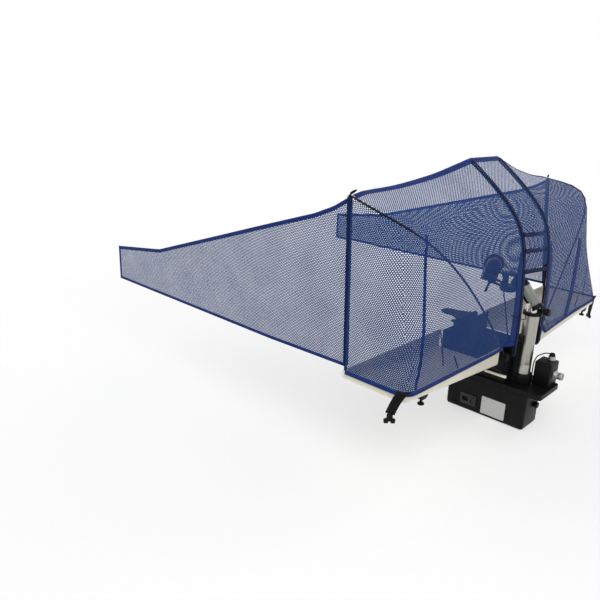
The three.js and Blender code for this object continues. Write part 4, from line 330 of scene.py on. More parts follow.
# Materials
class Look:
    """A material under construction: nodes are added with their inputs in one call."""

    def __init__(self, name):
        self.material = bpy.data.materials.new(name)
        self.material.use_nodes = True
        self.tree = self.material.node_tree
        self.shader = self.tree.nodes["Principled BSDF"]

    def node(self, kind, inputs=None, **settings):
        made = self.tree.nodes.new("ShaderNode" + kind)
        for key, value in settings.items():
            setattr(made, key, value)
        for key, value in (inputs or {}).items():
            self.set(made, key, value)
        return made

    def set(self, node, key, value):
        if isinstance(value, bpy.types.NodeSocket):
            self.tree.links.new(value, node.inputs[key])
        else:
            node.inputs[key].default_value = value

    def surface(self, **inputs):
        """Sets inputs of the shader, named with _ for a space."""
        for key, value in inputs.items():
            self.set(self.shader, key.replace("_", " "), value)

    def place(self, kind="Object"):
        return self.node("TexCoord").outputs[kind]

    def noise(self, place, scale, detail):
        inputs = {"Vector": place, "Scale": scale, "Detail": detail}
        return self.node("TexNoise", inputs).outputs[0]

    def maths(self, operation, first, second=0.0):
        return self.node("Math", {0: first, 1: second}, operation=operation).outputs[0]

    def vector(self, operation, first, second=(0, 0, 0), output=0):
        return self.node("VectorMath", {0: first, 1: second}, operation=operation).outputs[output]

    def mixed(self, share, first, second):
        """A colour between two: share 0 gives the first."""
        made = self.node("Mix", {}, data_type="RGBA")
        self.set(made, 0, share)
        self.set(made, 6, first)
        self.set(made, 7, second)
        return made.outputs[2]

    def range(self, value, low, high, to_low=0.0, to_high=1.0):
        inputs = {0: value, 1: low, 2: high, 3: to_low, 4: to_high}
        return self.node("MapRange", inputs).outputs[0]

    def spread(self, value, to_low=0.0, to_high=1.0):
        """A noise turned into a value between two."""
        return self.range(value, *NOISE_SPAN, to_low, to_high)

    def bump(self, height, strength, distance):
        inputs = {"Height": height, "Strength": strength, "Distance": distance}
        self.surface(Normal=self.node("Bump", inputs).outputs[0])


def shade(colour, factor):
    return tuple(min(1.0, c * factor) for c in colour) + (1.0,)


def darker(colour, factor):
    return shade(colour, factor)[:3]


def moulded(name, colour, roughness, grain=1400, variation=0.22, wear=0.35, metallic=0.0,
            specular=GLOSSY):
    """Moulded or coated surface: cloudy colour, fine grain, and lighter worn edges."""
    look = Look(name)
    place = look.place()
    cloud = look.noise(place, CLOUD_SCALE, 4)
    dust = look.noise(place, DUST_SCALE, 3)
    fine = look.noise(place, grain, 2)
    low, high = shade(colour, 1 - variation), shade(colour, 1 + variation)
    base = look.mixed(look.spread(cloud), low, high)
    dusty = look.range(dust, *DUST_SHOWS, 0, DUST_SHARE)
    base = look.mixed(dusty, base, shade(colour, 1 + variation * 3))
    pointy = look.node("NewGeometry").outputs["Pointiness"]
    base = look.mixed(look.range(pointy, *EDGE_SHOWS, 0, wear), base, shade(colour, WORN))
    rough = look.spread(dust, roughness - ROUGHNESS_PLAY, roughness + ROUGHNESS_PLAY)
    look.surface(Base_Color=base, Roughness=rough, Metallic=metallic, Specular_IOR_Level=specular)
    look.bump(fine, 0.5, GRAIN_DEPTH)
    return look.material


def drawn_metal(name, colour, roughness, along=(60, 60, 2), scratch=0.10):
    """Metal with fine marks drawn out along one axis."""
    look = Look(name)
    place = look.node("Mapping", {"Vector": look.place(), "Scale": along}).outputs[0]
    marks = look.noise(place, MARK_SCALE, 4)
    smears = look.noise(place, SMEAR_SCALE, 2)
    base = look.mixed(look.spread(marks), shade(colour, 0.82), shade(colour, 1.12))
    rough = look.spread(smears, roughness - scratch, roughness + scratch)
    look.surface(Base_Color=base, Metallic=1.0, Roughness=rough)
    look.bump(marks, 0.25, MARK_DEPTH)
    return look.material


def clear_sheet(name, colour, see_through):
    """Clear plastic with smudges that dull it and hide a little more."""
    look = Look(name)
    smudge = look.noise(look.place(), SMUDGE_SCALE, 4)
    base = look.mixed(smudge, shade(colour, 0.85), shade(colour, 1.15))
    solid = 1 - see_through
    look.surface(Base_Color=base, Roughness=look.spread(smudge, 0.08, 0.24),
                 Alpha=look.spread(smudge, solid, solid + 0.08))
    return look.material


def net_cloth(name, colour, open_radius=NET_HOLE):
    """Knitted net: rows of round holes, each row half a step on from the one below."""
    look = Look(name)
    uv = look.place("UV")
    step = (NET_PITCH, NET_PITCH * math.sqrt(3), 0)
    rows = (1 / step[0], 1 / step[1], 1)
    reaches = []
    for shift in (0.0, 0.5):
        cell = look.vector("MULTIPLY", uv, rows)
        cell = look.vector("ADD", cell, (shift, shift, 0))
        cell = look.vector("FRACTION", cell)
        cell = look.vector("SUBTRACT", cell, (0.5, 0.5, 0))
        cell = look.vector("MULTIPLY", cell, step)
        reaches.append(look.vector("LENGTH", cell, output=1))
    nearest = look.maths("MINIMUM", *reaches)
    place = look.place()
    slack = look.noise(place, SLACK_SCALE, 3)
    hole = look.spread(slack, open_radius * (1 - HOLE_PLAY), open_radius * (1 + HOLE_PLAY))
    yarn = look.range(look.maths("SUBTRACT", nearest, hole), *YARN_EDGE)
    plies = look.noise(place, YARN_SCALE, 2)
    base = look.mixed(look.spread(plies), shade(colour, 0.7), shade(colour, 1.35))
    look.surface(Base_Color=base, Roughness=0.75, Specular_IOR_Level=DULL,
                 Sheen_Weight=NET_SHEEN, Alpha=yarn)
    look.bump(look.range(nearest, 0, NET_PITCH / 2), 0.4, KNIT_DEPTH)
    return look.material


def woven(name, colour, rib=900, stitched=True):
    """Woven tape: ribs along it, and a row of stitches near each edge. u runs across, v along."""
    look = Look(name)
    uv = look.node("SeparateXYZ", {0: look.place("UV")})
    across, along = uv.outputs[0], uv.outputs[1]
    ribs = look.maths("SINE", look.maths("MULTIPLY", along, rib * math.tau / 2))
    cords = look.maths("SINE", look.maths("MULTIPLY", across, CORDS_ACROSS * math.tau))
    weave = look.maths("MULTIPLY", ribs, cords)
    lint = look.noise(look.place(), LINT_SCALE, 3)
    # The weave's hollows are painted darker and its raised crossings lighter, by the same height
    # that the bump uses: painted shade and painted highlight.
    base = look.mixed(look.range(weave, -1, 1), shade(colour, 0.72), shade(colour, 1.3))
    base = look.mixed(look.range(lint, 0.4, 0.75, 0, 0.5), base, shade(colour, 1.9))
    height = look.range(weave, -1, 1)
    if stitched:
        off_middle = look.maths("ABSOLUTE", look.maths("SUBTRACT", across, 0.5))
        off_row = look.maths("ABSOLUTE", look.maths("SUBTRACT", off_middle, STITCH_ROW))
        in_row = look.range(off_row, *STITCH_SHOWS, 1, 0)
        wave = look.maths("SINE", look.maths("MULTIPLY", along, STITCH_RATE * math.tau))
        stitch = look.maths("MULTIPLY", in_row, look.range(wave, -0.3, 0))
        base = look.mixed(stitch, base, shade(colour, STITCH_BRIGHT))
        height = look.maths("ADD", height, look.maths("MULTIPLY", stitch, STITCH_HEIGHT))
    look.surface(Base_Color=base, Roughness=0.8, Specular_IOR_Level=DULL, Sheen_Weight=TAPE_SHEEN)
    look.bump(height, 0.5, WEAVE_DEPTH)
    return look.material


LOOKS = {
    "housing": moulded("housing_black", BLACK_MOULDING, 0.42, specular=DULL),
    "hopper": moulded("hopper_black", darker(BLACK_MOULDING, 0.9), 0.5, grain=700, specular=DULL),
    "head": moulded("head_black", darker(BLACK_MOULDING, 0.85), 0.36, specular=DULL),
    "rubber": moulded("rubber_black", BLACK_RUBBER, 0.7, grain=900, wear=0.1, specular=DULL),
    "socket": moulded("socket_black", darker(BLACK_RUBBER, 1.1), 0.5, grain=900),
    "cream": moulded("tray_cream", CREAM, 0.38, grain=500, variation=0.05, wear=0.12),
    "white": moulded("white_moulding", (0.78, 0.79, 0.80), 0.35, variation=0.05, wear=0.1),
    "rod": moulded("rod_black", (0.007, 0.009, 0.014), 0.45, grain=800, specular=DULL),
    "hook": moulded("hook_black", (0.008, 0.009, 0.012), 0.45, grain=600, specular=DULL),
    "orange": moulded("tyre_orange", (0.75, 0.22, 0.05), 0.65, grain=1100, variation=0.12,
                      wear=0.1),
    "motor": moulded("motor_grey", (0.17, 0.17, 0.165), 0.5, metallic=0.8),
    "tube": drawn_metal("tube_aluminium", ALUMINIUM, 0.30),
    "polished": drawn_metal("tube_polished", (0.62, 0.61, 0.58), 0.20, scratch=0.05),
    "zinc": drawn_metal("zinc_plate", (0.36, 0.37, 0.38), 0.36, along=(8, 8, 8)),
    "plate": moulded("plate_bare", (0.46, 0.46, 0.45), 0.33, grain=1800, variation=0.04, wear=0.1),
    "smoky": clear_sheet("smoky_clear", (0.30, 0.31, 0.29), 0.45),
    "guard": clear_sheet("guard_clear", (0.45, 0.48, 0.50), 0.62),
    "net": net_cloth("blue_net", NET_BLUE),
    # Denser net for the doubled cloth, its darker blue painted shade of the folds
    "folded_shaded": net_cloth("blue_net_doubled_shaded", FOLD_SHADED_BLUE, FOLD_HOLE),
    "tape": woven("blue_tape", TAPE_BLUE),
    "sleeve": woven("blue_sleeve", SLEEVE_BLUE, rib=600),
    # Dark tape along the hoods' fold lines: painted shade of the folds
    "fold_shade": woven("blue_fold_shade", TAPE_BLUE, rib=700, stitched=False),
    "webbing": woven("black_webbing", BLACK_RUBBER, rib=700),
    "cable": moulded("cable_black", BLACK_RUBBER, 0.55, grain=700, specular=DULL),
}
NODE_LOOKS = {
    "housing": ["base_housing", "base_lid", "service_panel", "drive_housing", "cover_knob",
                "clamp_knob", "pole_cradle", "pole_collar", "feed_plate", "near_foot_bracket",
                "far_foot_bracket", "near_buckle", "far_buckle"],
    "hopper": ["hopper"],
    "head": ["feed_elbow", "turret_foot", "pan_drum", "head_body", "wheel_motor", "tilt_lever"],
    "rubber": ["hook_pad", "clamp_pad", "near_tray_foot", "far_tray_foot"],
    "socket": ["power_inlet", "rocker_switch"],
    "cream": ["near_tray", "far_tray", "near_side_rail", "far_side_rail"],
    "white": ["nozzle_ring", "feed_wheel"],
    "rod": ["near_rib", "far_rib", "near_bow_rod", "far_bow_rod", "near_corner_pole",
            "far_corner_pole"],
    "hook": ["table_hook"],
    "orange": ["throwing_wheel"],
    "motor": ["feed_motor"],
    "tube": ["ball_pole"],
    "polished": ["neck_tube"],
    "zinc": ["head_socket", "remote_socket", "power_supply", "clamp_screw"],
    "smoky": ["elbow_liner"],
    "guard": ["wheel_guard"],
    "cable": ["socket_lead"],
}
# Rounding of the edges, where it isn't the usual one
EDGE = 0.0007
NODE_EDGES = {
    "base_housing": 0.0016, "base_lid": 0.0016, "drive_housing": 0.0016, "near_tray": 0.0010,
    "far_tray": 0.0010, "service_panel": 0.0006, "near_rib": 0, "far_rib": 0, "near_bow_rod": 0,
    "far_bow_rod": 0, "near_corner_pole": 0, "far_corner_pole": 0, "socket_lead": 0,
    "wheel_guard": 0.0003, "elbow_liner": 0.0003, "hopper": 0.0008, "ball_pole": 0.0008,
    "power_inlet": 0.0003, "rocker_switch": 0.0004, "remote_socket": 0.0004,
    "near_buckle": 0.0006, "far_buckle": 0.0006, "pan_drum": 0, "head_body": 0,
}
# Pieces that turn closely in one another keep the facets of their solids
KEPT_FACETS = ("pan_drum", "head_body")
# Vertices nearer than this are one, and faces flatter than this are one
WELD = 0.00001
FLAT_DEGREES = 0.6
SHARP_DEGREES = 34
TUBE_SHARP_DEGREES = 60
# Two triangles of a cloth's solid are one face when they bend and skew by less than this
PAIR_BEND_DEGREES = 40
PAIR_SKEW_DEGREES = 60
# A tube's rings start from the side of its line, unless the line starts nearly upright
LEAST_SLANT = 0.1


# Meshes
def mesh_from(bm, name):
    """Turns an edited mesh into a new one and lets go of it."""
    mesh = bpy.data.meshes.new(name)
    bm.to_mesh(mesh)
    bm.free()
    return mesh


def solid_of(node):
    """A node's own solid, opened for editing, with its doubled vertices joined."""
    bm = bmesh.new()
    bm.from_mesh(frame["nodes"][node].data)
    bmesh.ops.remove_doubles(bm, verts=bm.verts, dist=WELD)
    return bm


def add_object(name, mesh, look, body="base"):
    made = bpy.data.objects.new(name, mesh)
    bpy.context.scene.collection.objects.link(made)
    mesh.materials.append(LOOKS[look])
    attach(made, body)
    return made


def settle(piece):
    """Applies the modifiers of a piece."""
    bpy.context.view_layer.update()
    evaluated = piece.evaluated_get(bpy.context.evaluated_depsgraph_get())
    mesh = bpy.data.meshes.new_from_object(evaluated)
    piece.modifiers.clear()
    piece.data = mesh


def smooth(mesh, degrees=SHARP_DEGREES):
    mesh.shade_smooth()
    mesh.set_sharp_from_angle(angle=math.radians(degrees))


def finish_node(node, look):
    """A rigid node with its edges rounded and its curves smooth, in the node's own place."""
    bm = solid_of(node)
    if node not in KEPT_FACETS:
        bmesh.ops.dissolve_limit(bm, angle_limit=math.radians(FLAT_DEGREES), verts=bm.verts,
                                 edges=bm.edges)
    piece = add_object(node + "_finished", mesh_from(bm, node + "_finished"), look, BODY[node])
    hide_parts(node)
    width = NODE_EDGES.get(node, EDGE)
    if width:
        bevel = piece.modifiers.new("edges", "BEVEL")
        bevel.width = width
        bevel.segments = 2
        bevel.limit_method = "ANGLE"
        bevel.angle_limit = math.radians(SHARP_DEGREES)
        settle(piece)
    smooth(piece.data)


def skin_of(node, inside, name):
    """The outer face of a cloth solid, as one sheet of four-sided faces."""
    bm = solid_of(node)
    bm.normal_update()
    centre = Vector(inside)
    drop = []
    for face in bm.faces:
        outward = face.normal.dot(face.calc_center_median() - centre) > 0
        narrowest = 2 * face.calc_area() / max(edge.calc_length() for edge in face.edges)
        if not outward or narrowest < RIM_WIDTH:
            drop.append(face)
    bmesh.ops.delete(bm, geom=drop, context="FACES")
    bmesh.ops.join_triangles(bm, faces=bm.faces,
                             angle_face_threshold=math.radians(PAIR_BEND_DEGREES),
                             angle_shape_threshold=math.radians(PAIR_SKEW_DEGREES))
    return mesh_from(bm, name)


def measured_uv(mesh):
    """Lays the net's own grid on each face, in metres, from the side that the face looks to."""
    layer = mesh.uv_layers[0] if mesh.uv_layers else mesh.uv_layers.new(name="cloth")
    for polygon in mesh.polygons:
        steep = max(range(3), key=lambda k: abs(polygon.normal[k]))
        first, second = [(1, 2), (0, 2), (0, 1)][steep]
        for corner in polygon.loop_indices:
            place = mesh.vertices[mesh.loops[corner].vertex_index].co
            layer.data[corner].uv = (place[first], place[second])


def slacken(mesh, seed):
    """Shallow pulls and puckers, outward only, dying away at the edges of the sheet."""
    bm = bmesh.new()
    bm.from_mesh(mesh)
    rim = [v.co.copy() for v in bm.verts if v.is_boundary]
    count = len(rim)
    near_rim = BVHTree.FromPolygons(
        rim * 3, [(i, i + count, i + 2 * count) for i in range(count)])
    for v in bm.verts:
        away = near_rim.find_nearest(v.co)[3] or 0
        share = min(1.0, away / WRINKLE_REACH)
        x, y, z = v.co
        pull = noise.noise(Vector((x * PULLS + seed, y * PULLS, z * PULLS_UP)))
        pucker = noise.noise(Vector((x * PUCKERS, y * PUCKERS + seed, z * PUCKERS_UP)))
        v.co += v.normal * WRINKLE * share * (0.5 + 0.5 * pull + PUCKER_SHARE * pucker)
    bm.to_mesh(mesh)
    bm.free()


def hood_sheet(side):
    """A hood's cloth, made finer and rounder than its solid, with shallow wrinkles."""
    inside, seed = HOODS[side][:2]
    node = side + "_hood"
    mesh = skin_of(node, inside, node + "_cloth")
    piece = add_object(node + "_cloth", mesh, "net")
    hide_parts(node)
    for kind in ("SIMPLE", "CATMULL_CLARK"):
        divide = piece.modifiers.new("divide", "SUBSURF")
        divide.subdivision_type = kind
        divide.boundary_smooth = "PRESERVE_CORNERS"
        divide.levels = divide.render_levels = 1
    settle(piece)
    slacken(piece.data, seed)
    piece.data.shade_smooth()
    measured_uv(piece.data)
    return piece


def tree_of(piece):
    return BVHTree.FromPolygons([v.co.copy() for v in piece.data.vertices],
                                [tuple(p.vertices) for p in piece.data.polygons])


# Lines
def vectors(points):
    return [Vector(p) for p in points]


def tangent_at(line, i):
    return (line[min(i + 1, len(line) - 1)] - line[max(i - 1, 0)]).normalized()


def lengths_along(line):
    """The way from the start of the line to each of its points."""
    lengths = [0.0]
    for a, b in zip(line, line[1:]):
        lengths.append(lengths[-1] + (b - a).length)
    return lengths


def resampled(line, step=0.012):
    """The line again with points a step apart."""
    lengths = lengths_along(line)
    count = max(2, round(lengths[-1] / step))
    made, k = [], 0
    for i in range(count + 1):
        want = lengths[-1] * i / count
        while k < len(line) - 2 and lengths[k + 1] < want:
            k += 1
        span = lengths[k + 1] - lengths[k]
        made.append(line[k].lerp(line[k + 1], (want - lengths[k]) / span if span else 0))
    return made


def eased(line, rounds=2):
    """The line with its corners rounded off and its ends kept."""
    for _ in range(rounds):
        inner = [(a + b * 2 + c) / 4 for a, b, c in zip(line, line[1:], line[2:])]
        line = [line[0]] + inner + [line[-1]]
    return line


def edge_line(mesh, start, end):
    """The sheet's own edge from the place nearest start to the one nearest end."""
    bm = bmesh.new()
    bm.from_mesh(mesh)
    rim = [v for v in bm.verts if v.is_boundary]
    first = min(rim, key=lambda v: (v.co - Vector(start)).length)
    last = min(rim, key=lambda v: (v.co - Vector(end)).length)
    reached, came_from, queue = {first: 0.0}, {}, [(0.0, first.index, first)]
    while queue:
        so_far, _, vert = heapq.heappop(queue)
        if vert is last:
            break
        for edge in vert.link_edges:
            ahead = edge.other_vert(vert)
            length = so_far + edge.calc_length()
            if edge.is_boundary and length < reached.get(ahead, math.inf):
                reached[ahead], came_from[ahead] = length, vert
                heapq.heappush(queue, (length, ahead.index, ahead))
    line = [last]
    while line[-1] is not first:
        line.append(came_from[line[-1]])
    places = [v.co.copy() for v in reversed(line)]
    bm.free()
    return places


# Tapes and tubes
def quad(bm, uv, rows, i, k, columns, lengths):
    """A face between two rows and two columns, with its place across and along. The last column
    of a tube's rings is followed by the first one again."""
    j = (k + 1) % len(rows[i])
    face = bm.faces.new((rows[i][k], rows[i][j], rows[i + 1][j], rows[i + 1][k]))
    for loop, (a, b) in zip(face.loops, ((k, i), (k + 1, i), (k + 1, i + 1), (k, i + 1))):
        loop[uv].uv = (a / columns, lengths[b])


def strip(name, middle_line, across_line, width, look, thickness=TAPE_THICKNESS, lay=None,
          columns=4):
    """A tape along a line: across_line gives its sideways direction at each point, and width may
    be a rule that turns the share of the length into a width."""
    bm = bmesh.new()
    uv = bm.loops.layers.uv.new("tape")
    lengths = lengths_along(middle_line)
    rows = []
    for i, (point, across) in enumerate(zip(middle_line, across_line)):
        reach = width(i / (len(middle_line) - 1)) if callable(width) else width
        places = [point + across * reach * (k / columns - 0.5) for k in range(columns + 1)]
        rows.append([bm.verts.new(lay(place) if lay else place) for place in places])
    for i in range(len(rows) - 1):
        for k in range(columns):
            quad(bm, uv, rows, i, k, columns, lengths)
    piece = add_object(name, mesh_from(bm, name), look)
    solid = piece.modifiers.new("thick", "SOLIDIFY")
    solid.thickness = thickness
    solid.offset = 0
    settle(piece)
    piece.data.shade_smooth()
    return piece


def tape_on_cloth(name, line, width, look, cloth, lift=CLOTH_LIFT, thickness=TAPE_THICKNESS,
                  columns=4):
    """A tape that lies on the cloth along a line near it."""
    line = eased(resampled(line))
    seats = [cloth.find_nearest(p) for p in line]
    middle = [hit + normal * lift for hit, normal, _, _ in seats]
    across = [seat[1].cross(tangent_at(middle, i)).normalized() for i, seat in enumerate(seats)]

    def lay(place):
        hit, normal, _, _ = cloth.find_nearest(place)
        if (hit - place).length > LAY_REACH:
            return place
        away = place - hit
        away -= normal * away.dot(normal)
        return hit + away + normal * lift

    piece = strip(name, middle, across, width, look, thickness, lay, columns)
    if look == "folded_shaded":
        measured_uv(piece.data)
    return piece


def tube(name, line, radius, look, sides):
    """A round piece along a line, closed at both ends; radius may be a rule like a tape's width."""
    bm = bmesh.new()
    uv = bm.loops.layers.uv.new("tape")
    side = Vector((0, 0, 1)).cross(tangent_at(line, 0))
    side = (side if side.length > LEAST_SLANT else Vector((1, 0, 0))).normalized()
    turns = [(math.cos(math.tau * k / sides), math.sin(math.tau * k / sides))
             for k in range(sides)]
    lengths = lengths_along(line)
    rings = []
    for i, point in enumerate(line):
        ahead = tangent_at(line, i)
        side = (side - ahead * side.dot(ahead)).normalized()
        other = ahead.cross(side)
        reach = radius(i / (len(line) - 1)) if callable(radius) else radius
        rings.append([bm.verts.new(point + reach * (c * side + s * other)) for c, s in turns])
    for i in range(len(rings) - 1):
        for k in range(sides):
            quad(bm, uv, rings, i, k, sides, lengths)
    bm.faces.new(list(reversed(rings[0])))
    bm.faces.new(rings[-1])
    piece = add_object(name, mesh_from(bm, name), look)
    smooth(piece.data, TUBE_SHARP_DEGREES)
    return piece


# Trims of the hoods
def hood_trim(side, mesh, cloth):
    """Tapes round one hood: along the mouth and round the tray."""
    sign = SIDES[side]
    tip = (RIB_ROUTE[0][0], sign * RIB_SIDE, RIB_ROUTE[0][1])
    foot = (CORNER_FEET[side][0], sign * HEM_SIDE, HEM_FOOT)
    rib_foot = (RIB_ROUTE[-1][0], sign * RIB_SIDE, RIB_ROUTE[-1][1] + HEM_ABOVE_RIB_FOOT)
    mouth = edge_line(mesh, CORNER_TOPS[side], tip)
    hem = edge_line(mesh, foot, rib_foot)
    return [
        tape_on_cloth(side + "_mouth_tape", mouth, MOUTH_TAPE, "tape", cloth, lift=LOW_LIFT),
        tape_on_cloth(side + "_hem_tape", hem, HEM_TAPE, "tape", cloth, thickness=HEM_THICKNESS),
    ]


def rib_sleeve(side):
    """The sleeve that the rib slides in."""
    line = [Vector((x, SIDES[side] * RIB_SIDE, z)) for x, z in RIB_ROUTE]
    line = eased(resampled(line, RIB_STEP))
    sideways = Vector((0, 1, 0))
    middle = []
    for i, point in enumerate(line):
        outward = sideways.cross(tangent_at(line, i))
        outward = outward if outward.x > 0 else -outward
        middle.append(point + outward * RIB_STAND_OFF)
    return strip(side + "_rib_sleeve", middle, [sideways] * len(line), SLEEVE_WIDTH, "sleeve",
                 SLEEVE_THICKNESS)


def corner_sleeve(side):
    """The sleeve over the corner pole, a little uneven along it."""
    foot, top = Vector(CORNER_FEET[side]), Vector(CORNER_TOPS[side])
    line = [foot.lerp(top, CORNER_SLEEVE_START + CORNER_SLEEVE_SHARE * i / CORNER_SLEEVE_STEPS)
            for i in range(CORNER_SLEEVE_STEPS + 1)]

    def radius(share):
        uneven = noise.noise(Vector((share * CORNER_SLEEVE_WAVES, CORNER_SLEEVE_SEED, 0.0)))
        return CORNER_SLEEVE_RADIUS + CORNER_SLEEVE_PLAY * uneven

    return tube(side + "_corner_sleeve", line, radius, "sleeve", CORNER_SLEEVE_SIDES)


def seen_on(cloth, pixels):
    """The places on a cloth that pixels of the photograph show, without those that miss it."""
    hits = [cloth.ray_cast(*pixel_ray(u, v))[0] for u, v in pixels]
    return [hit for hit in hits if hit is not None]


def make_fold_shade_lines(cloths):
    """Dark tapes along the near hood's fold lines as the photograph shows them, painted shade of
    the folds, and their mirror on the far hood.
    """
    made = {"near": [], "far": []}
    for name, (pixels, width) in FOLD_SHADE_LINES.items():
        line = seen_on(cloths["near"], pixels)
        mirrored = [Vector((p.x, -p.y, p.z)) for p in line]
        for side, places in (("near", line), ("far", mirrored)):
            made[side].append(
                tape_on_cloth(f"{side}_{name}", places, width, "fold_shade", cloths[side]))
    return made


def gather_width(share):
    """Starts narrow at the top and soon reaches its full width."""
    return min(GATHER_WIDTH, GATHER_START + GATHER_SPREAD * share)


def make_gathers(cloths):
    """Cloth drawn together: a strip beside each rib's foot, and a fold down the far hood, both of
    denser net whose darker blue is painted shade.
    """
    made = {}
    for side, sign in SIDES.items():
        low = [Vector((x, sign * GATHER_SIDE, z)) for x, z in RIB_ROUTE
               if GATHER_TOP > z > GATHER_FOOT]
        made[side] = [tape_on_cloth(side + "_gather", low, gather_width, "folded_shaded", cloths[side],
                                    columns=GATHER_COLUMNS)]
    line = seen_on(cloths["far"], FAR_FOLD)
    made["far"].append(tape_on_cloth("far_fold", line, FAR_FOLD_WIDTH, "folded_shaded", cloths["far"],
                                     columns=FOLD_COLUMNS))
    return made


def make_bridges():
    """Tapes that cross the open back between the two ribs."""
    made = []
    up = Vector((-0.2, 0, 1)).normalized()
    for k, rise in enumerate(TAPE_RISES):
        x = next(a[0] + (b[0] - a[0]) * (a[1] - rise) / (a[1] - b[1])
                 for a, b in zip(RIB_ROUTE, RIB_ROUTE[1:]) if a[1] >= rise >= b[1])
        shares = [y / BRIDGE_STEPS for y in range(-BRIDGE_STEPS, BRIDGE_STEPS + 1)]
        line = [Vector((x + RIB_STAND_OFF, RIB_SIDE * s, rise - TAPE_TILT * s)) for s in shares]
        made.append(strip(f"bridge_tape_{k + 1}", line, [up] * len(line), BRIDGE_TAPE, "sleeve",
                          SLEEVE_THICKNESS))
    return made


def back_mouth_tape(mesh, cloth):
    x, z = BACK_EDGE_END
    ends = [(x, sign * RIB_SIDE, z) for sign in SIDES.values()]
    return tape_on_cloth("back_mouth_tape", edge_line(mesh, *ends), MOUTH_TAPE, "tape", cloth,
                         lift=LOW_LIFT)


# Side nets
def net_height(share):
    """The side net's height at a share of its length, as a share of its height at the corner."""
    spans = zip(SIDE_NET_TOP, SIDE_NET_TOP[1:])
    (s0, h0), (s1, h1) = next((start, end) for start, end in spans if share <= end[0])
    return h0 + (h1 - h0) * (share - s0) / (s1 - s0)


def net_column(side, share):
    """One column of a side net, from its foot up."""
    sign = SIDES[side]
    foot, top = CORNER_FEET[side], CORNER_TOPS[side]
    turn = min(share * SIDE_NET_TURN, 1)
    top_x, foot_x = top[0] - SIDE_NET_SEAT, foot[0] - SIDE_NET_SEAT
    rise = top[2] - SIDE_NET_TOP_DROP - SIDE_NET_END_RISE
    above = Vector((top_x + (SIDE_NET_END - top_x) * share,
                    sign * (abs(top[1]) * (1 - turn) + SIDE_NET_SIDE * turn),
                    SIDE_NET_END_RISE + rise * net_height(share)))
    below = Vector((foot_x + (SIDE_NET_END - foot_x) * share,
                    sign * (abs(foot[1]) * (1 - turn) + SIDE_NET_SIDE * turn), SIDE_NET_FOOT))
    along, up, seed = SIDE_NET_BILLOWS
    column = []
    for j in range(SIDE_NET_ROWS + 1):
        place = below.lerp(above, j / SIDE_NET_ROWS)
        slack = math.sin(math.pi * j / SIDE_NET_ROWS) * math.sin(math.pi * share)
        billow = noise.noise(Vector((place.x * along, place.z * up, sign * seed)))
        place.y += SIDE_NET_SLACK * slack * billow
        column.append(place)
    return column


def make_side_net(side):
    """One side net as a single sheet with tapes along its top, its foot and its far end."""
    name = side + "_side_net"
    grid = [net_column(side, i / SIDE_NET_COLUMNS) for i in range(SIDE_NET_COLUMNS + 1)]
    count = SIDE_NET_ROWS + 1
    mesh = bpy.data.meshes.new(name + "_cloth")
    faces = [(i * count + j, i * count + j + 1, (i + 1) * count + j + 1, (i + 1) * count + j)
             for i in range(SIDE_NET_COLUMNS) for j in range(SIDE_NET_ROWS)]
    mesh.from_pydata([p for column in grid for p in column], [], faces)
    sheet = add_object(name + "_cloth", mesh, "net")
    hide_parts(name)
    mesh.shade_smooth()
    measured_uv(mesh)
    down = [(column[0] - column[-1]).normalized() for column in grid]
    top = [column[-1] + d * NET_TOP_TAPE / 2 for column, d in zip(grid, down)]
    foot = [column[0] - d * NET_FOOT_TAPE / 2 for column, d in zip(grid, down)]
    end = grid[-1][::2]
    trims = [
        strip(name + "_top", top, down, NET_TOP_TAPE, "tape", NET_TAPE_THICKNESS),
        strip(name + "_foot", foot, down, NET_FOOT_TAPE, "tape", NET_TAPE_THICKNESS),
        strip(name + "_end", end, [Vector((1, 0, 0))] * len(end), NET_FOOT_TAPE, "tape",
              NET_TAPE_THICKNESS),
    ]


# Straps, cords and small pieces
def hanging_strap(side):
    """Webbing over the tray's corner, down to its buckle."""
    line = eased(resampled(vectors(STRAP_ROUTES[side]), CORD_STEP), 1)
    sideways = Vector((-1, SIDES[side], 0)).normalized()
    across = []
    for i in range(len(line)):
        ahead = tangent_at(line, i)
        across.append((sideways - ahead * sideways.dot(ahead)).normalized())
    piece = strip(side + "_strap_web", line, across, STRAP_WIDTH, "webbing", STRAP_THICKNESS,
                  columns=STRAP_COLUMNS)
    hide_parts(side + "_strap")


def held_cord(name, node, route, diameter, look):
    line = resampled(vectors(route), CORD_STEP)
    piece = tube(name, line, diameter / 2, look, CORD_SIDES)
    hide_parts(node)


def toggle(side):
    """The barrel lock of the cord on a corner pole's tip."""
    lean, length = TOGGLES[side]
    seat = Vector(CORNER_TOPS[side]) + Vector((0, 0, TOGGLE_LIFT))
    ahead = Vector(lean).normalized()
    line = [seat + ahead * length * i / TOGGLE_STEPS for i in range(TOGGLE_STEPS + 1)]

    def radius(share):
        bulge = math.sin(math.pi * min(1, share * TOGGLE_BULGE)) ** 0.5
        return TOGGLE_RADIUS * (TOGGLE_END + (1 - TOGGLE_END) * bulge)

    tube(side + "_toggle", line, radius, "rubber", CORD_SIDES)


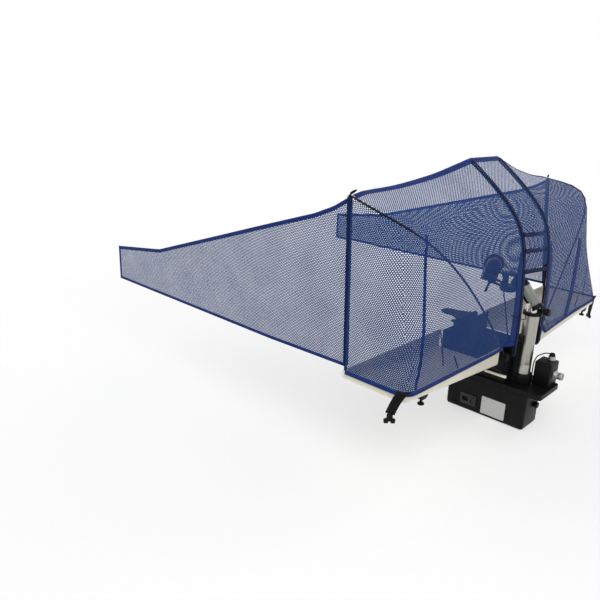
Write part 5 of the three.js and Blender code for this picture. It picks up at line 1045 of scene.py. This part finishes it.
def bare_plate():
    """The plain plate on the near panel."""
    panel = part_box("service_panel")[0]
    x, z = PLATE_MIDDLE
    middle = Vector((x, panel.y - PLATE_GAP, z))
    half_width, half_height = PLATE_WIDTH / 2 - PLATE_CORNER, PLATE_HEIGHT / 2 - PLATE_CORNER
    bm = bmesh.new()
    front = []
    for cx, cz, start in ((1, 1, 0), (-1, 1, 90), (-1, -1, 180), (1, -1, 270)):
        for i in range(PLATE_ARC_STEPS + 1):
            angle = math.radians(start + i * 90 / PLATE_ARC_STEPS)
            front.append(bm.verts.new(middle + Vector((
                cx * half_width + PLATE_CORNER * math.cos(angle), 0,
                cz * half_height + PLATE_CORNER * math.sin(angle)))))
    out = bmesh.ops.extrude_face_region(bm, geom=[bm.faces.new(front)])
    for item in out["geom"]:
        if isinstance(item, bmesh.types.BMVert):
            item.co.y -= PLATE_THICKNESS
    bmesh.ops.recalc_face_normals(bm, faces=bm.faces)
    piece = add_object("bare_plate", mesh_from(bm, "bare_plate"), "plate")
    smooth(piece.data)


# Stage
def make_floor():
    bm = bmesh.new()
    bmesh.ops.create_circle(bm, cap_ends=True, radius=FLOOR_RADIUS, segments=FLOOR_SEGMENTS)
    floor = bpy.data.objects.new("floor", mesh_from(bm, "floor"))
    floor.location = (0.0, 0.0, cad_box[0][2] - FLOOR_DROP)
    bpy.context.scene.collection.objects.link(floor)
    look = Look("floor_pale")
    place = look.place()
    reach = look.vector("LENGTH", place, output=1)
    speck = look.noise(place, SMUDGE_SCALE, 3)
    look.surface(Base_Color=look.mixed(speck, *FLOOR_TONES), Roughness=0.9,
                 Alpha=look.range(reach, *FLOOR_FADES, FLOOR_STRENGTH, 0.0))
    floor.data.materials.append(look.material)


def make_world():
    """White where the camera sees it, also by mirror or through clear pieces; softer as light."""
    world = bpy.data.worlds.new("studio")
    bpy.context.scene.world = world
    world.use_nodes = True
    nodes, links = world.node_tree.nodes, world.node_tree.links
    nodes.clear()

    def background(strength):
        made = nodes.new("ShaderNodeBackground")
        made.inputs[0].default_value = WHITE
        made.inputs[1].default_value = strength
        return made.outputs[0]

    def either(first, second):
        made = nodes.new("ShaderNodeMath")
        made.operation = "MAXIMUM"
        links.new(first, made.inputs[0])
        links.new(second, made.inputs[1])
        return made.outputs[0]

    path = nodes.new("ShaderNodeLightPath").outputs
    seen = either(either(path["Is Camera Ray"], path["Is Glossy Ray"]),
                  path["Is Transmission Ray"])
    mix, output = nodes.new("ShaderNodeMixShader"), nodes.new("ShaderNodeOutputWorld")
    links.new(seen, mix.inputs[0])
    links.new(background(WORLD_LIGHT), mix.inputs[1])
    links.new(background(1.0), mix.inputs[2])
    links.new(mix.outputs[0], output.inputs[0])


def make_lights():
    for name, place, size, power in LIGHTS:
        data = bpy.data.lights.new(name, "AREA")
        data.shape, data.size, data.energy = "DISK", size, power
        light = bpy.data.objects.new(name, data)
        light.location = place
        aim = Vector(LIGHTS_AIM) - Vector(place)
        light.rotation_euler = aim.to_track_quat("-Z", "Y").to_euler()
        bpy.context.scene.collection.objects.link(light)


def dress():
    for look, nodes in NODE_LOOKS.items():
        for node in nodes:
            finish_node(node, look)
    hoods = {side: hood_sheet(side) for side in HOODS}
    cloths = {side: tree_of(hood) for side, hood in hoods.items()}
    fold_shade_pieces = make_fold_shade_lines(cloths)
    gathers = make_gathers(cloths)
    trims = {"back": make_bridges() + [back_mouth_tape(hoods["back"].data, cloths["back"])]}
    for side in SIDES:
        trims[side] = (hood_trim(side, hoods[side].data, cloths[side]) + fold_shade_pieces[side]
                       + gathers[side] + [rib_sleeve(side), corner_sleeve(side)])
    for side in SIDES:
        make_side_net(side)
        hanging_strap(side)
        held_cord(side + "_elastic_cord", side + "_elastic", ELASTIC_ROUTES[side],
                  ELASTIC_DIAMETER, "webbing")
        toggle(side)
    held_cord("head_lead_cable", "head_lead", HEAD_LEAD_ROUTE, HEAD_LEAD_DIAMETER,
              "cable")
    bare_plate()


bpy.context.scene.view_settings.view_transform = "Standard"
make_camera()
make_floor()
make_world()
make_lights()
dress()
